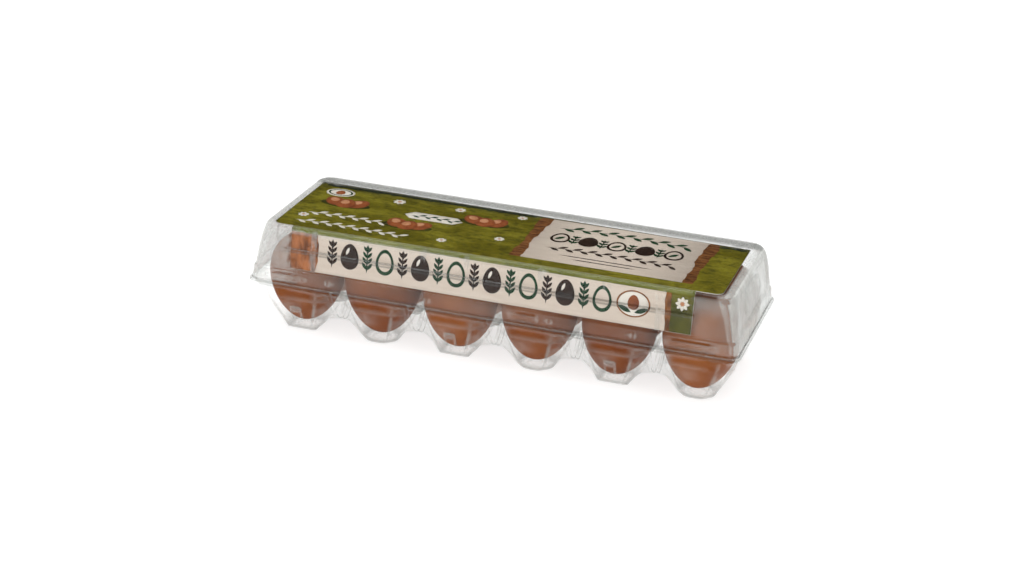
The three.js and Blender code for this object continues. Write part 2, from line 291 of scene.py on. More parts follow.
def clear_plastic(name, tint, straight, slant, fold, power=3.0):
    """Mirror share = straight + slant * (slantwise view) ** power + BEND_MIRROR * bend, and `fold` is
    the tint of a crisp bend. Grey share = painted reflection share, uneven by its scuffs, + RIM_GREY *
    rim, a lit grey that paints reflection, highlight and edge light."""
    r = Recipe(name)
    rim, bend, cloud = (r.node("ShaderNodeAttribute", {"attribute_name": key}).outputs["Fac"]
                        for key in ("rim", "bend", "cloud"))
    facing = r.node("ShaderNodeLayerWeight", Blend=0.5).outputs["Facing"]
    mirror = r.math("ADD", r.math("MULTIPLY", r.math("POWER", facing, power), slant), straight)
    mirror = r.math("ADD", mirror, r.math("MULTIPLY", bend, BEND_MIRROR), clamp=True)
    waves = r.noise(scale=42.0, detail=2.0, stretch=(0.6, 1.0, 1.0))
    gloss = r.node("ShaderNodeBsdfGlossy", {"distribution": "GGX"}, Color=(0.93, 0.94, 0.935),
                   Roughness=0.1, Normal=r.bump(waves, distance=0.0016, strength=0.35)).outputs[0]
    through = r.node("ShaderNodeBsdfTransparent", Color=r.mix(bend, tint, fold)).outputs[0]
    sheet = r.node("ShaderNodeMixShader", i0=mirror, i1=through, i2=gloss).outputs[0]
    grain = r.noise(scale=130.0, detail=5.0, roughness=0.65, stretch=(1.0, 1.0, 0.5))
    scuffs = r.ramp(grain, 0.3, 0.75, 0.75, 1.25)
    grey_share = r.math("ADD", r.math("MULTIPLY", cloud, scuffs), r.math("MULTIPLY", rim, RIM_GREY), clamp=True)
    grey = r.node("ShaderNodeBsdfDiffuse", Color=r.mix(rim, HAZE_AND_REFLECTION_TONE, RIM_TONE)).outputs[0]
    return r.finish(r.node("ShaderNodeMixShader", i0=grey_share, i1=sheet, i2=grey).outputs[0])


tray_plastic = clear_plastic("clear_tray_plastic", tint=(0.985, 0.988, 0.986), straight=0.001,
                             slant=0.5, fold=(0.72, 0.73, 0.72), power=4.0)
lid_plastic = clear_plastic("clear_lid_plastic", tint=(0.987, 0.989, 0.988), straight=0.013,
                            slant=0.45, fold=(0.7, 0.7, 0.69))
print("clear plastic for the tray and, a little glossier, for the lid")

# %% [markdown]
# ## Outlines with rounded corners
#
# The lid's walls, the flanges and the tray's mouth are all rounded rectangles. One description
# serves them all: each column of the grid has a share of the straight stretch, from -1 to 1 both
# ways, and a direction to lean out by the corner's radius. Any size then follows by one line.

# %% Columns round a rounded rectangle
def spaced(length, gap_at):
    """Places from 0 to `length` that lie gap_at(place) apart: the running sum of 1 over the gap
    grows by the same step from each place to the next."""
    fine = np.linspace(0, length, 8001)
    passed = np.concatenate([[0], np.cumsum(1 / gap_at((fine[1:] + fine[:-1]) / 2)) * fine[1]])
    return np.interp(np.linspace(0, passed[-1], math.ceil(passed[-1]) + 1), passed, fine)


def round_columns(long_places, end_pieces, corner_pieces):
    """Shares and directions of the columns, anticlockwise seen from above. A point of the outline is
    share times (half size minus corner radius), plus direction times corner radius. The long sides'
    columns stand at the shares of their length that long_places gives."""
    def side(start, end, way, t):
        t = t[1:-1, None]
        return np.hstack([start + (end - start) * t, np.broadcast_to(way, (len(t), 2))])

    def corner(share, start):
        angle = start + np.linspace(0, math.pi / 2, corner_pieces + 1)[:, None]
        return np.hstack([np.broadcast_to(share, (len(angle), 2)), np.cos(angle), np.sin(angle)])

    a, b, c, d = (np.array(p, float) for p in ((1, -1), (1, 1), (-1, 1), (-1, -1)))
    even = np.linspace(0, 1, end_pieces + 1)
    columns = np.vstack([
        side(a, b, (1, 0), even), corner(b, 0),
        side(b, c, (0, 1), 1 - long_places[::-1]), corner(c, math.pi / 2),
        side(c, d, (-1, 0), even), corner(d, math.pi),
        side(d, a, (0, -1), long_places), corner(a, -math.pi / 2)])
    return columns[:, :2], columns[:, 2:]


MOST_OF_WAY = 0.45


def round_path(knots, reach, steps):
    """A broken line with rounded corners: each corner becomes a quadratic curve that starts and ends
    `reach` of a millimetre away from it, or at most MOST_OF_WAY to the next corner. Distances are
    measured in a knot's first two numbers. Where each knot is a row of points, every point has a
    line of its own."""
    single = [1] * (knots.ndim - 1)
    before, here, after = knots[:-2], knots[1:-1], knots[2:]
    back, on = (np.maximum(np.linalg.norm((knot - here)[..., :2], axis=-1, keepdims=True), 1e-6)
                for knot in (before, after))
    reach = np.reshape(reach, (-1, *single))
    start = here + (before - here) * np.minimum(reach / back, MOST_OF_WAY)
    end = here + (after - here) * np.minimum(reach / on, MOST_OF_WAY)
    t = np.linspace(0, 1, steps).reshape(-1, *single)
    curve = (1 - t) ** 2 * start[:, None] + 2 * t * (1 - t) * here[:, None] + t ** 2 * end[:, None]
    return np.concatenate([knots[:1], curve.reshape(-1, *knots.shape[1:]), knots[-1:]])


def respace(path, gap_of):
    """The same path with its points gap_of(first number of the point) apart."""
    length = np.linalg.norm(np.diff(path[:, :2], axis=0), axis=1)
    along = np.concatenate([[0], np.cumsum(length)])
    places = spaced(along[-1], lambda place: gap_of(np.interp(place, along, path[:, 0])))
    return np.stack([np.interp(places, along, path[:, k]) for k in range(path.shape[1])], -1)


# %% [markdown]
# ## The lid
#
# The real lid is drawn down over a mould: a flat flange, a low skirt, a wall that leans in a little,
# a soft shoulder and a flat top. A path up the wall holds height, half length, half width and corner
# radius together, and the rounded outline is carried along it. The top closes by shrinking the same
# outline to a line. Ribs, beads and panels are then pressed in by moving points along the wall's own
# direction, as the mould does, so they have soft edges and the sheet keeps its thickness.

# %% The lid's path from the flange to the middle of its top
WALL = 0.6
top_z = lid_high[2] - WALL / 2
flange_z = lid_low[2] + WALL / 2
half_x, half_y = lid_high[0], lid_high[1]
BEAD_Z = 55.5
lid_knots = np.array([
    # height, half length, half width, corner radius
    [flange_z, half_x, half_y, 5.0],
    [flange_z, half_x - 2.1, half_y - 1.6, 4.5],
    [42.6, half_x - 2.6, half_y - 2.1, 5.0],
    [43.6, half_x - 3.4, half_y - 2.8, 5.5],
    [55.4, half_x - 4.8, half_y - 3.5, 7.0],
    [62.0, half_x - 5.9, half_y - 4.0, 8.5],
    [67.4, half_x - 7.5, half_y - 4.8, 9.5],
    [top_z, half_x - 9.6, half_y - 6.6, 9.5],
    [top_z, half_x - 15.0, half_y - 11.8, 9.0],
])


def row_gap(z):
    """Rows of the lid's grid lie close at the flange, the skirt, the bead and the shoulder."""
    gap = np.where(z < 36.4, 0.34, np.where(z < 44.5, 0.6, np.where(z > 65.0, 0.6, 1.3)))
    return np.where(np.abs(z - BEAD_Z) < 1.7, 0.3, gap)


lid_wall = respace(round_path(lid_knots, [0.8, 0.7, 0.6, 3, 3, 2.5, 1.8], steps=6), row_gap)
inset = np.array([3.0, 8.0, 14.0, 21.0, 28.5, half_y - 11.8])[:, None]
_, last_x, last_y, last_corner = lid_knots[-1]
lid_top = np.hstack([np.full_like(inset, top_z), last_x - inset, last_y - inset,
                     last_corner * (1 - inset / last_y)])
lid_path = np.vstack([lid_wall, lid_top])
print("the lid's grid has", len(lid_path), "rows")


# %% Relief pressed into the lid
def swell(value, low, high, soft):
    """1 between low and high, 0 outside, with a smooth slope `soft` wide at each end."""
    rise = np.clip((value - low) / soft + 0.5, 0, 1)
    fall = np.clip((high - value) / soft + 0.5, 0, 1)
    return rise * rise * (3 - 2 * rise) * fall * fall * (3 - 2 * fall)


def pad(across, up, centre, half, corner, soft=0.9):
    """A raised rounded rectangle: 1 inside, 0 outside, by the distance to its outline."""
    dx = np.abs(across - centre[0]) - (half[0] - corner)
    dz = np.abs(up - centre[1]) - (half[1] - corner)
    outside = np.hypot(np.maximum(dx, 0), np.maximum(dz, 0))
    distance = outside + np.minimum(np.maximum(dx, dz), 0) - corner
    share = np.clip(0.5 - distance / soft, 0, 1)
    return share * share * (3 - 2 * share)


WALL_FOOT, SHOULDER = 45.0, 66.0
BEAD_HALF, BEAD_FROM, BEAD_TO = 0.85, -127, 119
RIB_XS = (-107, -40, -14, 30, 68, 99)
RIB_HALF, LONG_RIBS_PAST = 0.8, 90
SKIRT_MIDDLE = 38.6
# each pad's middle and its half length
SKIRT_PADS = ((-125.0, 9.4), (22.0, 8.0), (119.5, 13.4))
BUTTON_XS = (-113.0, -97.0, -36.0, 37.0, 86.0)
PANEL_AT, PANEL_HALF = (0, 54.5), (37.5, 10.2)
OVAL_AT, OVAL_HALF = (0.0, 54.0), np.array([19.0, 7.5])


def lid_relief(x, y, z, lean_x, lean_y):
    """How far each point is pressed outwards: a long bead on the front, upright grooves up to the
    shoulder, short in the middle and long near the ends, pads and buttons on the front skirt, and a
    sunk panel with an oval in it on either end."""
    long_side = np.abs(lean_y) > 0.99
    front = lean_y < -0.99
    end = np.abs(lean_x) > 0.99
    out = np.zeros_like(x)
    on_bead = swell(z, BEAD_Z - BEAD_HALF, BEAD_Z + BEAD_HALF, 0.55) * swell(x, BEAD_FROM, BEAD_TO, 1.5)
    out += np.where(front, 0.4 * on_bead, 0)
    for rib in RIB_XS:
        low = 44.5 if abs(rib) > LONG_RIBS_PAST else 62.5
        high = np.where(front, 68.6, 64.0)
        on_rib = swell(x, rib - RIB_HALF, rib + RIB_HALF, 0.8) * swell(z, low, high, 2.2)
        out -= np.where(long_side, 0.5 * on_rib, 0)
    for centre, half in SKIRT_PADS:
        at = (centre, SKIRT_MIDDLE)
        out += np.where(front, 0.6 * pad(x, z, at, (half, 2.3), 1.6), 0)
        out -= np.where(front, 0.3 * pad(x, z, at, (half - 1.5, 1.1), 0.9), 0)
    for button in BUTTON_XS:
        out += np.where(front, 0.55 * pad(x, z, (button, SKIRT_MIDDLE + 0.2), (1.5, 1.5), 1.5), 0)
    out -= np.where(end, 1.2 * pad(y, z, PANEL_AT, PANEL_HALF, 6, soft=2.4), 0)
    out += np.where(end, 1.1 * pad(y, z, OVAL_AT, OVAL_HALF, 7.4, soft=2.0), 0)
    return out


# %% [markdown]
# The lid's sheet gets a lit milky grey, a little of it scuffing and most of it painted reflection and
# highlight where the sheet mirrors the bright room. The ends have most of it, and the front has some to
# the left and right of the card's flap and below its two lower corners. Painted masks could hold that,
# but the places follow from the lid's own form, so a formula for each point serves better.

# %% Where the lid shows painted reflection
FLAP_LEFT, FLAP_RIGHT = -122.0, 118.0
PAST_END, SKIRT_LOW, SKIRT_HIGH = 150, 36, 43.8


def lid_cloud(x, y, z, lean_x, lean_y):
    """Share of lit grey on the lid's sheet at each point: a little scuffing, and mostly painted
    reflection and highlight. The ends have most of it, with a painted highlight ring round the oval. The
    front has some to either side of the flap, more at the left and a painted highlight up the right
    shoulder, some below the flap's lower corners, and a little on the skirt and a painted highlight along
    the shoulder.
    The back and the top have next to none."""
    front, end = lean_y < -0.9, np.abs(lean_x) > 0.6
    leftward = np.clip((-60 - x) / 60, 0, 1)
    left_of_flap = swell(x, -PAST_END, FLAP_LEFT - 0.2, 0.6)
    right_of_flap = swell(x, FLAP_RIGHT + 0.4, PAST_END, 0.6)
    past_flap = (left_of_flap + 1.1 * right_of_flap) * swell(z, WALL_FOOT, SHOULDER, 2)
    # painted highlight up the right shoulder
    past_flap = past_flap + 1.5 * right_of_flap * swell(z, 59, 70, 9)
    below_flap = 0.85 * swell(x, -170, FLAP_LEFT + 3, 16) + 0.8 * swell(x, FLAP_RIGHT + 3, 170, 14)
    below_flap = below_flap * swell(z, SKIRT_LOW, WALL_FOOT, 2)
    veil = 0.04 + 0.015 * np.sin(x / 19.0 + 1.2)
    on_front = veil * swell(z, SKIRT_LOW, SKIRT_HIGH, 0.8)
    on_front = on_front + (veil + 0.2 * leftward) * (past_flap + below_flap)
    # painted highlight along the shoulder over the card's fold, stronger to the left
    on_front = on_front + (0.055 - 0.0006 * x).clip(0.01) * swell(z, 65.4, 68.4, 0.8)
    top_ends = np.where(z > 67.5, 0.3 * swell(np.abs(x), 134.8, PAST_END, 1.5), 0)
    # painted highlight lines round the end's oval
    ring = pad(y, z, OVAL_AT, OVAL_HALF + 0.6, 7.4) - pad(y, z, OVAL_AT, OVAL_HALF - 1.4, 6)
    # painted reflection of the bright room on the ends, more on the right end
    on_end = np.where(x > 0, 0.42 + 0.1 * swell(z, 60, 72, 8), 0.3) * swell(z, SKIRT_LOW, 70, 2.5)
    on_back = 0.06 * (lean_y > 0.9) * swell(z, SKIRT_LOW, SHOULDER, 2)
    return 0.002 + np.where(front, on_front, 0) + top_ends + np.where(end, on_end + 0.16 * ring, on_back)


def lid_painted_shade_strip(y, z):
    """Share of the strip of the top between the card's back edge and the back wall that is painted as
    darker, greyer shade, in place of the dark room that it mirrors.
    """
    return swell(y, 33.5, 43.5, 1.5) * (z > 68.0)


# %% Make the lid
def column_gap(x):
    """Columns of the long sides lie close where a rib or a button is pressed in."""
    near = np.abs(x[..., None] - np.array(RIB_XS + BUTTON_XS)).min(-1)
    return np.where(near < 2.0, 0.5, 2.2)


def make_lid():
    """Carries the outline along the path, presses the relief, and gives the sheet its wall. The top
    also sags by up to 0.12 of a millimetre, and the walls sway by up to 0.26, as thin sheet does."""
    straight = half_x - lid_knots[-1, 3]
    places = spaced(2 * straight, lambda place: column_gap(place - straight)) / (2 * straight)
    share, way = round_columns(places, end_pieces=70, corner_pieces=9)
    z, hx, hy, corner = (lid_path[:, k, None] for k in range(4))
    x = share[:, 0] * (hx - corner) + way[:, 0] * corner
    y = share[:, 1] * (hy - corner) + way[:, 1] * corner
    z = np.broadcast_to(z, x.shape)
    lean_x = np.broadcast_to(way[:, 0], x.shape)
    lean_y = np.broadcast_to(way[:, 1], x.shape)
    row = np.arange(len(lid_path))[:, None]
    out = lid_relief(x, y, z, lean_x, lean_y) * (row < len(lid_wall) - 2)
    sway = 0.16 * np.sin(x / 17.0 + 0.7) * np.sin(z / 9.0 + 1.1) + 0.1 * np.sin(y / 9.0 + x / 31.0)
    out = out + sway * swell(z, WALL_FOOT, SHOULDER, 4)
    dip = 0.06 * (1 + np.sin(x / 38.0 + 0.4) * np.cos(y / 23.0)) * (z > top_z - 0.01)
    points = np.stack([x + lean_x * out, y + lean_y * out, z - dip], -1)
    sheet, faces = weld(points.reshape(-1, 3), grid_faces(*points.shape[:2], closed=True))
    towards = point_normals(sheet, faces)
    # painted shade: the strip behind the card is darkened through the bend tint and greyed through the
    # rim grey
    shade_strip = lid_painted_shade_strip(sheet[:, 1], sheet[:, 2])
    at_corner = swell(np.abs(towards[:, 0]), 0.12, 0.9, 0.1) * swell(sheet[:, 2], 37, 69, 2)
    bend = np.clip((sharpness(sheet, faces) - 0.4) / 1.2, 0, 1) * (1 - 0.8 * at_corner)
    bend = np.maximum(bend, shade_strip)
    # the lid's lit grey of painted reflection, with a painted highlight down the rounded corners
    cloud = lid_cloud(*sheet.T, towards[:, 0], towards[:, 1]) + 0.14 * at_corner
    shell, shell_faces = thicken(sheet, faces, WALL)
    piece = put_piece("lid_sheet", shell, shell_faces, "lid", "clear_sheet", lid_plastic,
                      bend=np.tile(bend, 2), rim=np.tile(0.78 * shade_strip, 2), cloud=np.tile(cloud, 2))
    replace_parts(piece, "lid")


make_lid()

# %% [markdown]
# ## The tray
#
# The tray is one sheet pressed into a cup for each egg. Each cup is a grid of its own: columns run
# round it, and rows run out from the middle of its flat foot, up the wall and on to the ridge that it
# shares with the next cup, to the posts where four cups meet, or to the flange. The foot is square,
# and every other one is turned to stand on its corner. The wall has eight soft facets, because flat
# facets stiffen a thin sheet and catch the light one by one.

# %% Heights where cups meet
PITCH = 48.0
ALONG = 6
MOUTH_X, MOUTH_Y = 144.5, 49.6
mouth_z = tray_high[2] - WALL / 2
CROSS_SADDLE, MIDDLE_SADDLE, POST_TOP = 8.0, 11.0, 30.0


def ease(low, high, share):
    """From low to high along half a cosine wave."""
    return low + (high - low) * (0.5 - 0.5 * np.cos(math.pi * share))


def ridge_height(x, y):
    """Height of the ridge between cups: half cosine waves between saddles and posts, a steeper curve
    out to the flange, and the flange's own height along the mouth."""
    ax, ay = np.abs(x), np.abs(y)
    from_cup = np.abs((ax / PITCH) % 1 - 0.5) * 2
    post = np.where(ax > PITCH * (ALONG / 2 - 0.5), mouth_z, POST_TOP)
    middle = ease(MIDDLE_SADDLE, post, from_cup)
    row = PITCH / 2
    inner = ease(CROSS_SADDLE, POST_TOP, 1 - np.clip(ay / row, 0, 1))
    outer = CROSS_SADDLE + (mouth_z - CROSS_SADDLE) * np.clip((ay - row) / (MOUTH_Y - row), 0, 1) ** 1.8
    height = np.where(ay < 0.3, middle, np.where(ay < row, inner, outer))
    return np.where((ax > MOUTH_X - 0.3) | (ay > MOUTH_Y - 0.3), mouth_z, height)


# %% Facets, feet and one cup's outline
def facet_reach(angle, inner, count, crisp):
    """Distance from the middle to a rounded polygon: one over a soft maximum of the cosines towards
    its sides, each divided by how far out that side lies. `inner` holds one distance, or several that
    take turns round the polygon. A higher `crisp` makes the corners sharper."""
    ways = np.arange(count) * 2 * math.pi / count
    cosines = np.maximum(np.cos(angle[..., None] - ways), 0) / np.resize(inner, count)
    return (cosines ** crisp).sum(-1) ** (-1 / crisp)


CHAMFER = 1.14
EDGE_SHARE = (CHAMFER - math.sqrt(0.5)) / math.sqrt(0.5)
half_places = spaced(1.0, lambda place: np.where(np.abs(place - EDGE_SHARE) < 0.06, 0.04, 0.125))
SIDE_SHARES = np.concatenate([-half_places[:0:-1], half_places[:-1]])
SIDE_PIECES = len(SIDE_SHARES)
print("each side of a cup has", SIDE_PIECES, "columns, facet edges", round(EDGE_SHARE, 3), "of it out")


def cell_outline(column, row):
    """Points round one cell's rectangle, anticlockwise from its front left corner. Each side has the
    same places both ways from its middle, closer together where a facet's edge runs down."""
    cx, cy = (column - (ALONG - 1) / 2) * PITCH, (row - 0.5) * PITCH
    left = -MOUTH_X if column == 0 else cx - PITCH / 2
    right = MOUTH_X if column == ALONG - 1 else cx + PITCH / 2
    low, high = (-MOUTH_Y, 0) if row == 0 else (0, MOUTH_Y)
    there, back = (way * SIDE_SHARES for way in (1, -1))
    xs, xs_back = (np.interp(way, [-1, 0, 1], [left, cx, right]) for way in (there, back))
    ys, ys_back = (np.interp(way, [-1, 0, 1], [low, cy, high]) for way in (there, back))
    same = np.ones(SIDE_PIECES)
    sides = [(xs, low * same), (right * same, ys), (xs_back, high * same), (left * same, ys_back)]
    return np.concatenate([np.stack(side, -1) for side in sides]), np.array([cx, cy])


def round_mouth(points, half, corner):
    """Pulls the points near a rectangle's corner on to its rounded corner."""
    over = np.abs(points) - (np.array(half) - corner)
    away = np.hypot(over[:, 0], over[:, 1])
    pull = np.where((over > 0).all(1), corner / np.maximum(away, corner), 1.0)[:, None]
    inside = np.sign(points) * (np.array(half) - corner + over * pull)
    return np.where((over > 0).all(1)[:, None], inside, points)


# %% One cup
FOOT_INNER = 9.0
CUP_LOW, LOW_Z = 14.6, 8.0
CUP_MID, MID_Z = 21.1, 22.4
CUP_WIDE, WIDE_Z = 22.9, 28.5
MOUTH_CORNER = 5.0
CURVE_STEPS = 4
floor_z = WALL / 2


def cup_grid(column, row):
    """One cup as rows by columns: knots out from the middle of the foot, rounded into a smooth path.
    A knot's height is its own, or its share of the ridge's height where that is lower."""
    outline, centre = cell_outline(column, row)
    angle = np.arctan2(*(outline - centre).T[::-1])
    edge = ridge_height(*outline.T)
    outline = round_mouth(outline, (MOUTH_X, MOUTH_Y), MOUTH_CORNER)
    away = np.hypot(*(outline - centre).T)
    if (column + row) % 2:
        foot = facet_reach(angle, FOOT_INNER + 1.6, 8, crisp=16)
    else:
        foot = facet_reach(angle, FOOT_INNER, 4, crisp=14)
    corner = np.sign(centre) * (np.abs(centre[0]) > PITCH * (ALONG / 2 - 1))
    outer = math.atan2(corner[1], corner[0]) if corner.all() else 0.0
    fuller = np.maximum(np.cos(angle - outer), 0) ** 10 * corner.all()
    facets = facet_reach(angle, (1.0, CHAMFER), 8, crisp=64)
    low = CUP_LOW * facets
    mid = CUP_MID * facets + 2.2 * fuller
    wide = CUP_WIDE * facet_reach(angle, (1.0, 1.1), 8, crisp=40) + 4.5 * fuller
    at_rim = np.clip((edge - 31) / (mouth_z - 31), 0, 1)

    def knot(reach, height, share):
        """A knot of the wall, kept within its share of the way out and up to the ridge."""
        reach = np.minimum(reach, share * away)
        height = np.minimum(height, floor_z + share * (edge - floor_z))
        return np.stack([reach, height], -1)

    flat = np.full_like(away, floor_z)
    shelf = np.stack([away - 0.9 - 0.5 * (1 - at_rim), edge - 3.4 * at_rim - 0.05 * (1 - at_rim)], -1)
    near = np.stack([away - 0.15 * at_rim - 0.4 * (1 - at_rim), edge - 2.9 * at_rim], -1)
    knots = [
        # the foot's raised middle and its flat ring
        np.stack([0.0 * away, flat + 0.9], -1),
        np.stack([0.0 * away + 3.6, flat + 0.8], -1),
        np.stack([0.0 * away + 5.2, flat], -1),
        np.stack([foot, flat], -1),
        # the facets, the ledge above them and the rounder rim
        knot(low, LOW_Z, 0.72),
        knot(mid, MID_Z, 0.92),
        knot(mid + 0.55, MID_Z + 0.9, 0.93),
        knot(wide, WIDE_Z, 0.975),
        # the step up to the flange, next to nothing at a ridge
        shelf,
        near,
        np.stack([away, edge], -1),
    ]
    reach = [1.2, 1.0, 0.7, 2.0, 0.3, 0.3, 2.0, 0.5, 0.4]
    path = round_path(np.stack(knots), reach, CURVE_STEPS)
    # four more rows between the low and the high end of the facets
    low_end = 4 * CURVE_STEPS
    t = np.linspace(0, 1, 6)[1:-1, None, None]
    more = path[low_end] + (path[low_end + 1] - path[low_end]) * t
    path = np.concatenate([path[:low_end + 1], more, path[low_end + 1:]])
    flat_way = np.stack([np.cos(angle), np.sin(angle)], -1)
    true_way = (outline - centre) / away[:, None]
    lean = np.clip((path[..., :1] - 15) / 8, 0, 1)
    way = flat_way * (1 - lean) + true_way * lean
    spot = centre + way * path[..., :1]
    return np.concatenate([spot, path[..., 1:]], -1)


# %% The flange round the tray's mouth
def flange_grid():
    """Rows from the mouth out over the flange and down its turned edge. Its columns are the outer
    sides of the cells, so that it welds to the cups point for point."""
    front = [cell_outline(column, 0)[0][:SIDE_PIECES] for column in range(ALONG)]
    end = [cell_outline(ALONG - 1, row)[0][SIDE_PIECES:2 * SIDE_PIECES] for row in (0, 1)]
    half = np.concatenate(front + end)
    outline = np.concatenate([half, -half])
    mouth = round_mouth(outline, (MOUTH_X, MOUTH_Y), MOUTH_CORNER)
    lip_x, lip_y = tray_high[0] - WALL / 2, tray_high[1] - WALL / 2
    wide = outline * np.array([lip_x / MOUTH_X, lip_y / MOUTH_Y])
    lip = round_mouth(wide, (lip_x, lip_y), MOUTH_CORNER)
    shares = np.array([0, 0.3, 0.7, 0.86, 0.96, 1, 1, 1])[:, None, None]
    drops = np.array([0, 0, 0, 0.04, 0.18, 0.5, 1.0, 1.7])[:, None]
    flat = mouth + (lip - mouth) * shares
    return np.concatenate([flat, np.broadcast_to(mouth_z - drops, flat.shape[:2])[..., None]], -1)


# %% Make the tray
def tray_cloud(x, y, z):
    """Painted reflection on the cups, a lit grey below the ledge that runs round them, for the bright
    room that their facets mirror. `turn` is the angle round a cup from the middle of its nearest wide
    facet, to the left of it negative, seen from outside. A wide facet is veiled on its left and clears
    towards its right, and the narrow facets are veiled all over."""
    beside_x = ((x / PITCH + ALONG / 2) % 1 - 0.5) * PITCH
    beside_y = ((y / PITCH + 1) % 1 - 0.5) * PITCH
    angle = np.degrees(np.arctan2(beside_y, beside_x))
    turn = (angle + 45) % 90 - 45
    edge = math.degrees(math.atan(EDGE_SHARE))
    wide = np.where(turn < -14, 0.055, 0.085 * np.clip((16 - turn) / 30, 0, 1))
    wide = wide * swell(z, np.where(turn < -14, 8.0, 13.5), MID_Z - 0.4, 1.5)
    narrow = 0.075 * swell(z, 8.5, 19.0, 1.5)
    return 0.001 + np.where(np.abs(turn) < edge, wide, narrow)


def make_tray():
    """Welds the cups and the flange into one sheet and gives it its wall. A fold shows where the sheet
    is bent sharply, but less the closer it lies to a ridge between cups, and the grey painted along sharp
    edges as edge light is fainter on the ledge."""
    grids = [cup_grid(column, row) for row in (0, 1) for column in range(ALONG)] + [flange_grid()]
    sheet, faces = weld(*merge([(grid.reshape(-1, 3), grid_faces(*grid.shape[:2], closed=True))
                                for grid in grids]))
    sharp = sharpness(sheet, faces)
    x, y, z = sheet.T
    to_ridge = np.minimum(np.abs(x - PITCH * np.round(x / PITCH)), np.abs(y))
    ridge = np.where(z < 33.0, np.clip(0.2 + (to_ridge - 1.6) / 9.0, 0.2, 1.0), 1.0)
    bend = np.clip((sharp - 0.3) / 1.2, 0, 1) * np.where(z > 30.5, 0.6, 0.5) * ridge
    ledge = 1 - 0.5 * swell(z, MID_Z - 1.0, MID_Z + 1.9, 0.6)
    # painted edge light: a lit grey along sharp edges, in place of the light they bend and mirror
    rim = np.clip((sharp - 0.14) / 0.45, 0, 1) * swell(z, -1.0, 30.0, 1.0) * ridge * ledge
    # painted reflection on the facets
    cloud = tray_cloud(x, y, z)
    shell, shell_faces = thicken(sheet, faces, WALL)
    piece = put_piece("tray_sheet", shell, shell_faces, "tray", "clear_sheet", tray_plastic,
                      bend=np.tile(bend, 2), rim=np.tile(0.5 * rim, 2), cloud=np.tile(cloud, 2))
    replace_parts(piece, "tray")


make_tray()

# %% [markdown]
# Every other cup has a small frame pressed into its outer facet. It is finer than the cup's own grid,
# so it is a plate of its own: its two directions run across the facet and up its slope, and a height
# pressed out of it makes the frame, the wide bar at its top and the line below that.

# %% Frames on the cups
FRAME_WALL = 0.2


def cup_frames():
    """Lays the plate on the slope of each second cup's outer facet, a little proud of the sheet: out
    from the cup's axis by the slope and the relief together, and up by the slope less the relief."""
    slope = np.array([CUP_MID - CUP_LOW, MID_Z - LOW_Z])
    up = slope / np.hypot(*slope)
    across, high = np.meshgrid(np.linspace(-3.7, 3.7, 38), np.linspace(0.2, 11.4, 48), indexing="ij")
    plate = pad(across, high, (0, 5.8), (3.2, 5.1), 0.8, soft=0.5)
    bar_top = pad(across, high, (0, 9.2), (2.6, 1.2), 0.5, soft=0.5)
    hollow = pad(across, high, (0, 3.8), (2.5, 3.0), 0.5, soft=0.5)
    out = WALL / 2 - 0.12 + 0.4 * plate + 0.25 * bar_top - 0.2 * hollow
    reach = CUP_LOW + high * up[0] + out * up[1]
    z = LOW_Z + high * up[1] - out * up[0]
    # painted edge light: grey along the frame's lines, and a painted highlight on its wide bar
    line = np.hypot(*np.gradient(out)) / 0.12
    rim = np.clip(line, 0, 1) * 0.5
    cloud = 0.01 + 0.07 * bar_top
    plates = []
    for row in (0, 1):
        side = 2 * row - 1
        for column in range(row, ALONG, 2):
            x = (column - (ALONG - 1) / 2) * PITCH - side * across
            y = (row - 0.5) * PITCH + side * reach
            sheet = np.stack([x, y, z], -1).reshape(-1, 3)
            plates.append(thicken(sheet, grid_faces(*across.shape), FRAME_WALL))
    rim, cloud = (np.tile(values.ravel(), 2 * len(plates)) for values in (rim, cloud))
    put_piece("cup_frames", *merge(plates), "tray", "clear_sheet", tray_plastic,
              bend=0 * rim, rim=rim, cloud=cloud)


cup_frames()

# %% [markdown]
# ## Eggs
#
# An egg is a turned form: each ring's radius is the sine of its place from pole to pole, less towards
# the small end, which stands down in the cup. The frame's eggs already differ in size and lean, so
# each fine egg is fitted to its own: the axis runs between the two poles, and a straight line through
# radius over sine gives the width and the taper. A few long waves keep the shell from looking lathed.
# The shell is a cloudy brown with a few dark specks, and higher up it is painted paler, as light from
# above.

# %% Brown shells
# a paler brown painted on the upper part of each shell as light from above, and the heights, in metres,
# over which it comes in
PAINTED_TOP_LIGHT = linear(180, 124, 88)
TOP_LIGHT_FROM, TOP_LIGHT_TO, TOP_LIGHT_SHARE = 0.033, 0.058, 0.42
SHELL_TONES = {
    # brown, paler brown and specks, as screen colours
    "mid": ((127, 66, 25), (141, 78, 36), (82, 38, 14)),
    "dark": ((119, 59, 20), (133, 71, 30), (76, 34, 11)),
    "light": ((136, 73, 31), (150, 87, 43), (90, 44, 18)),
}


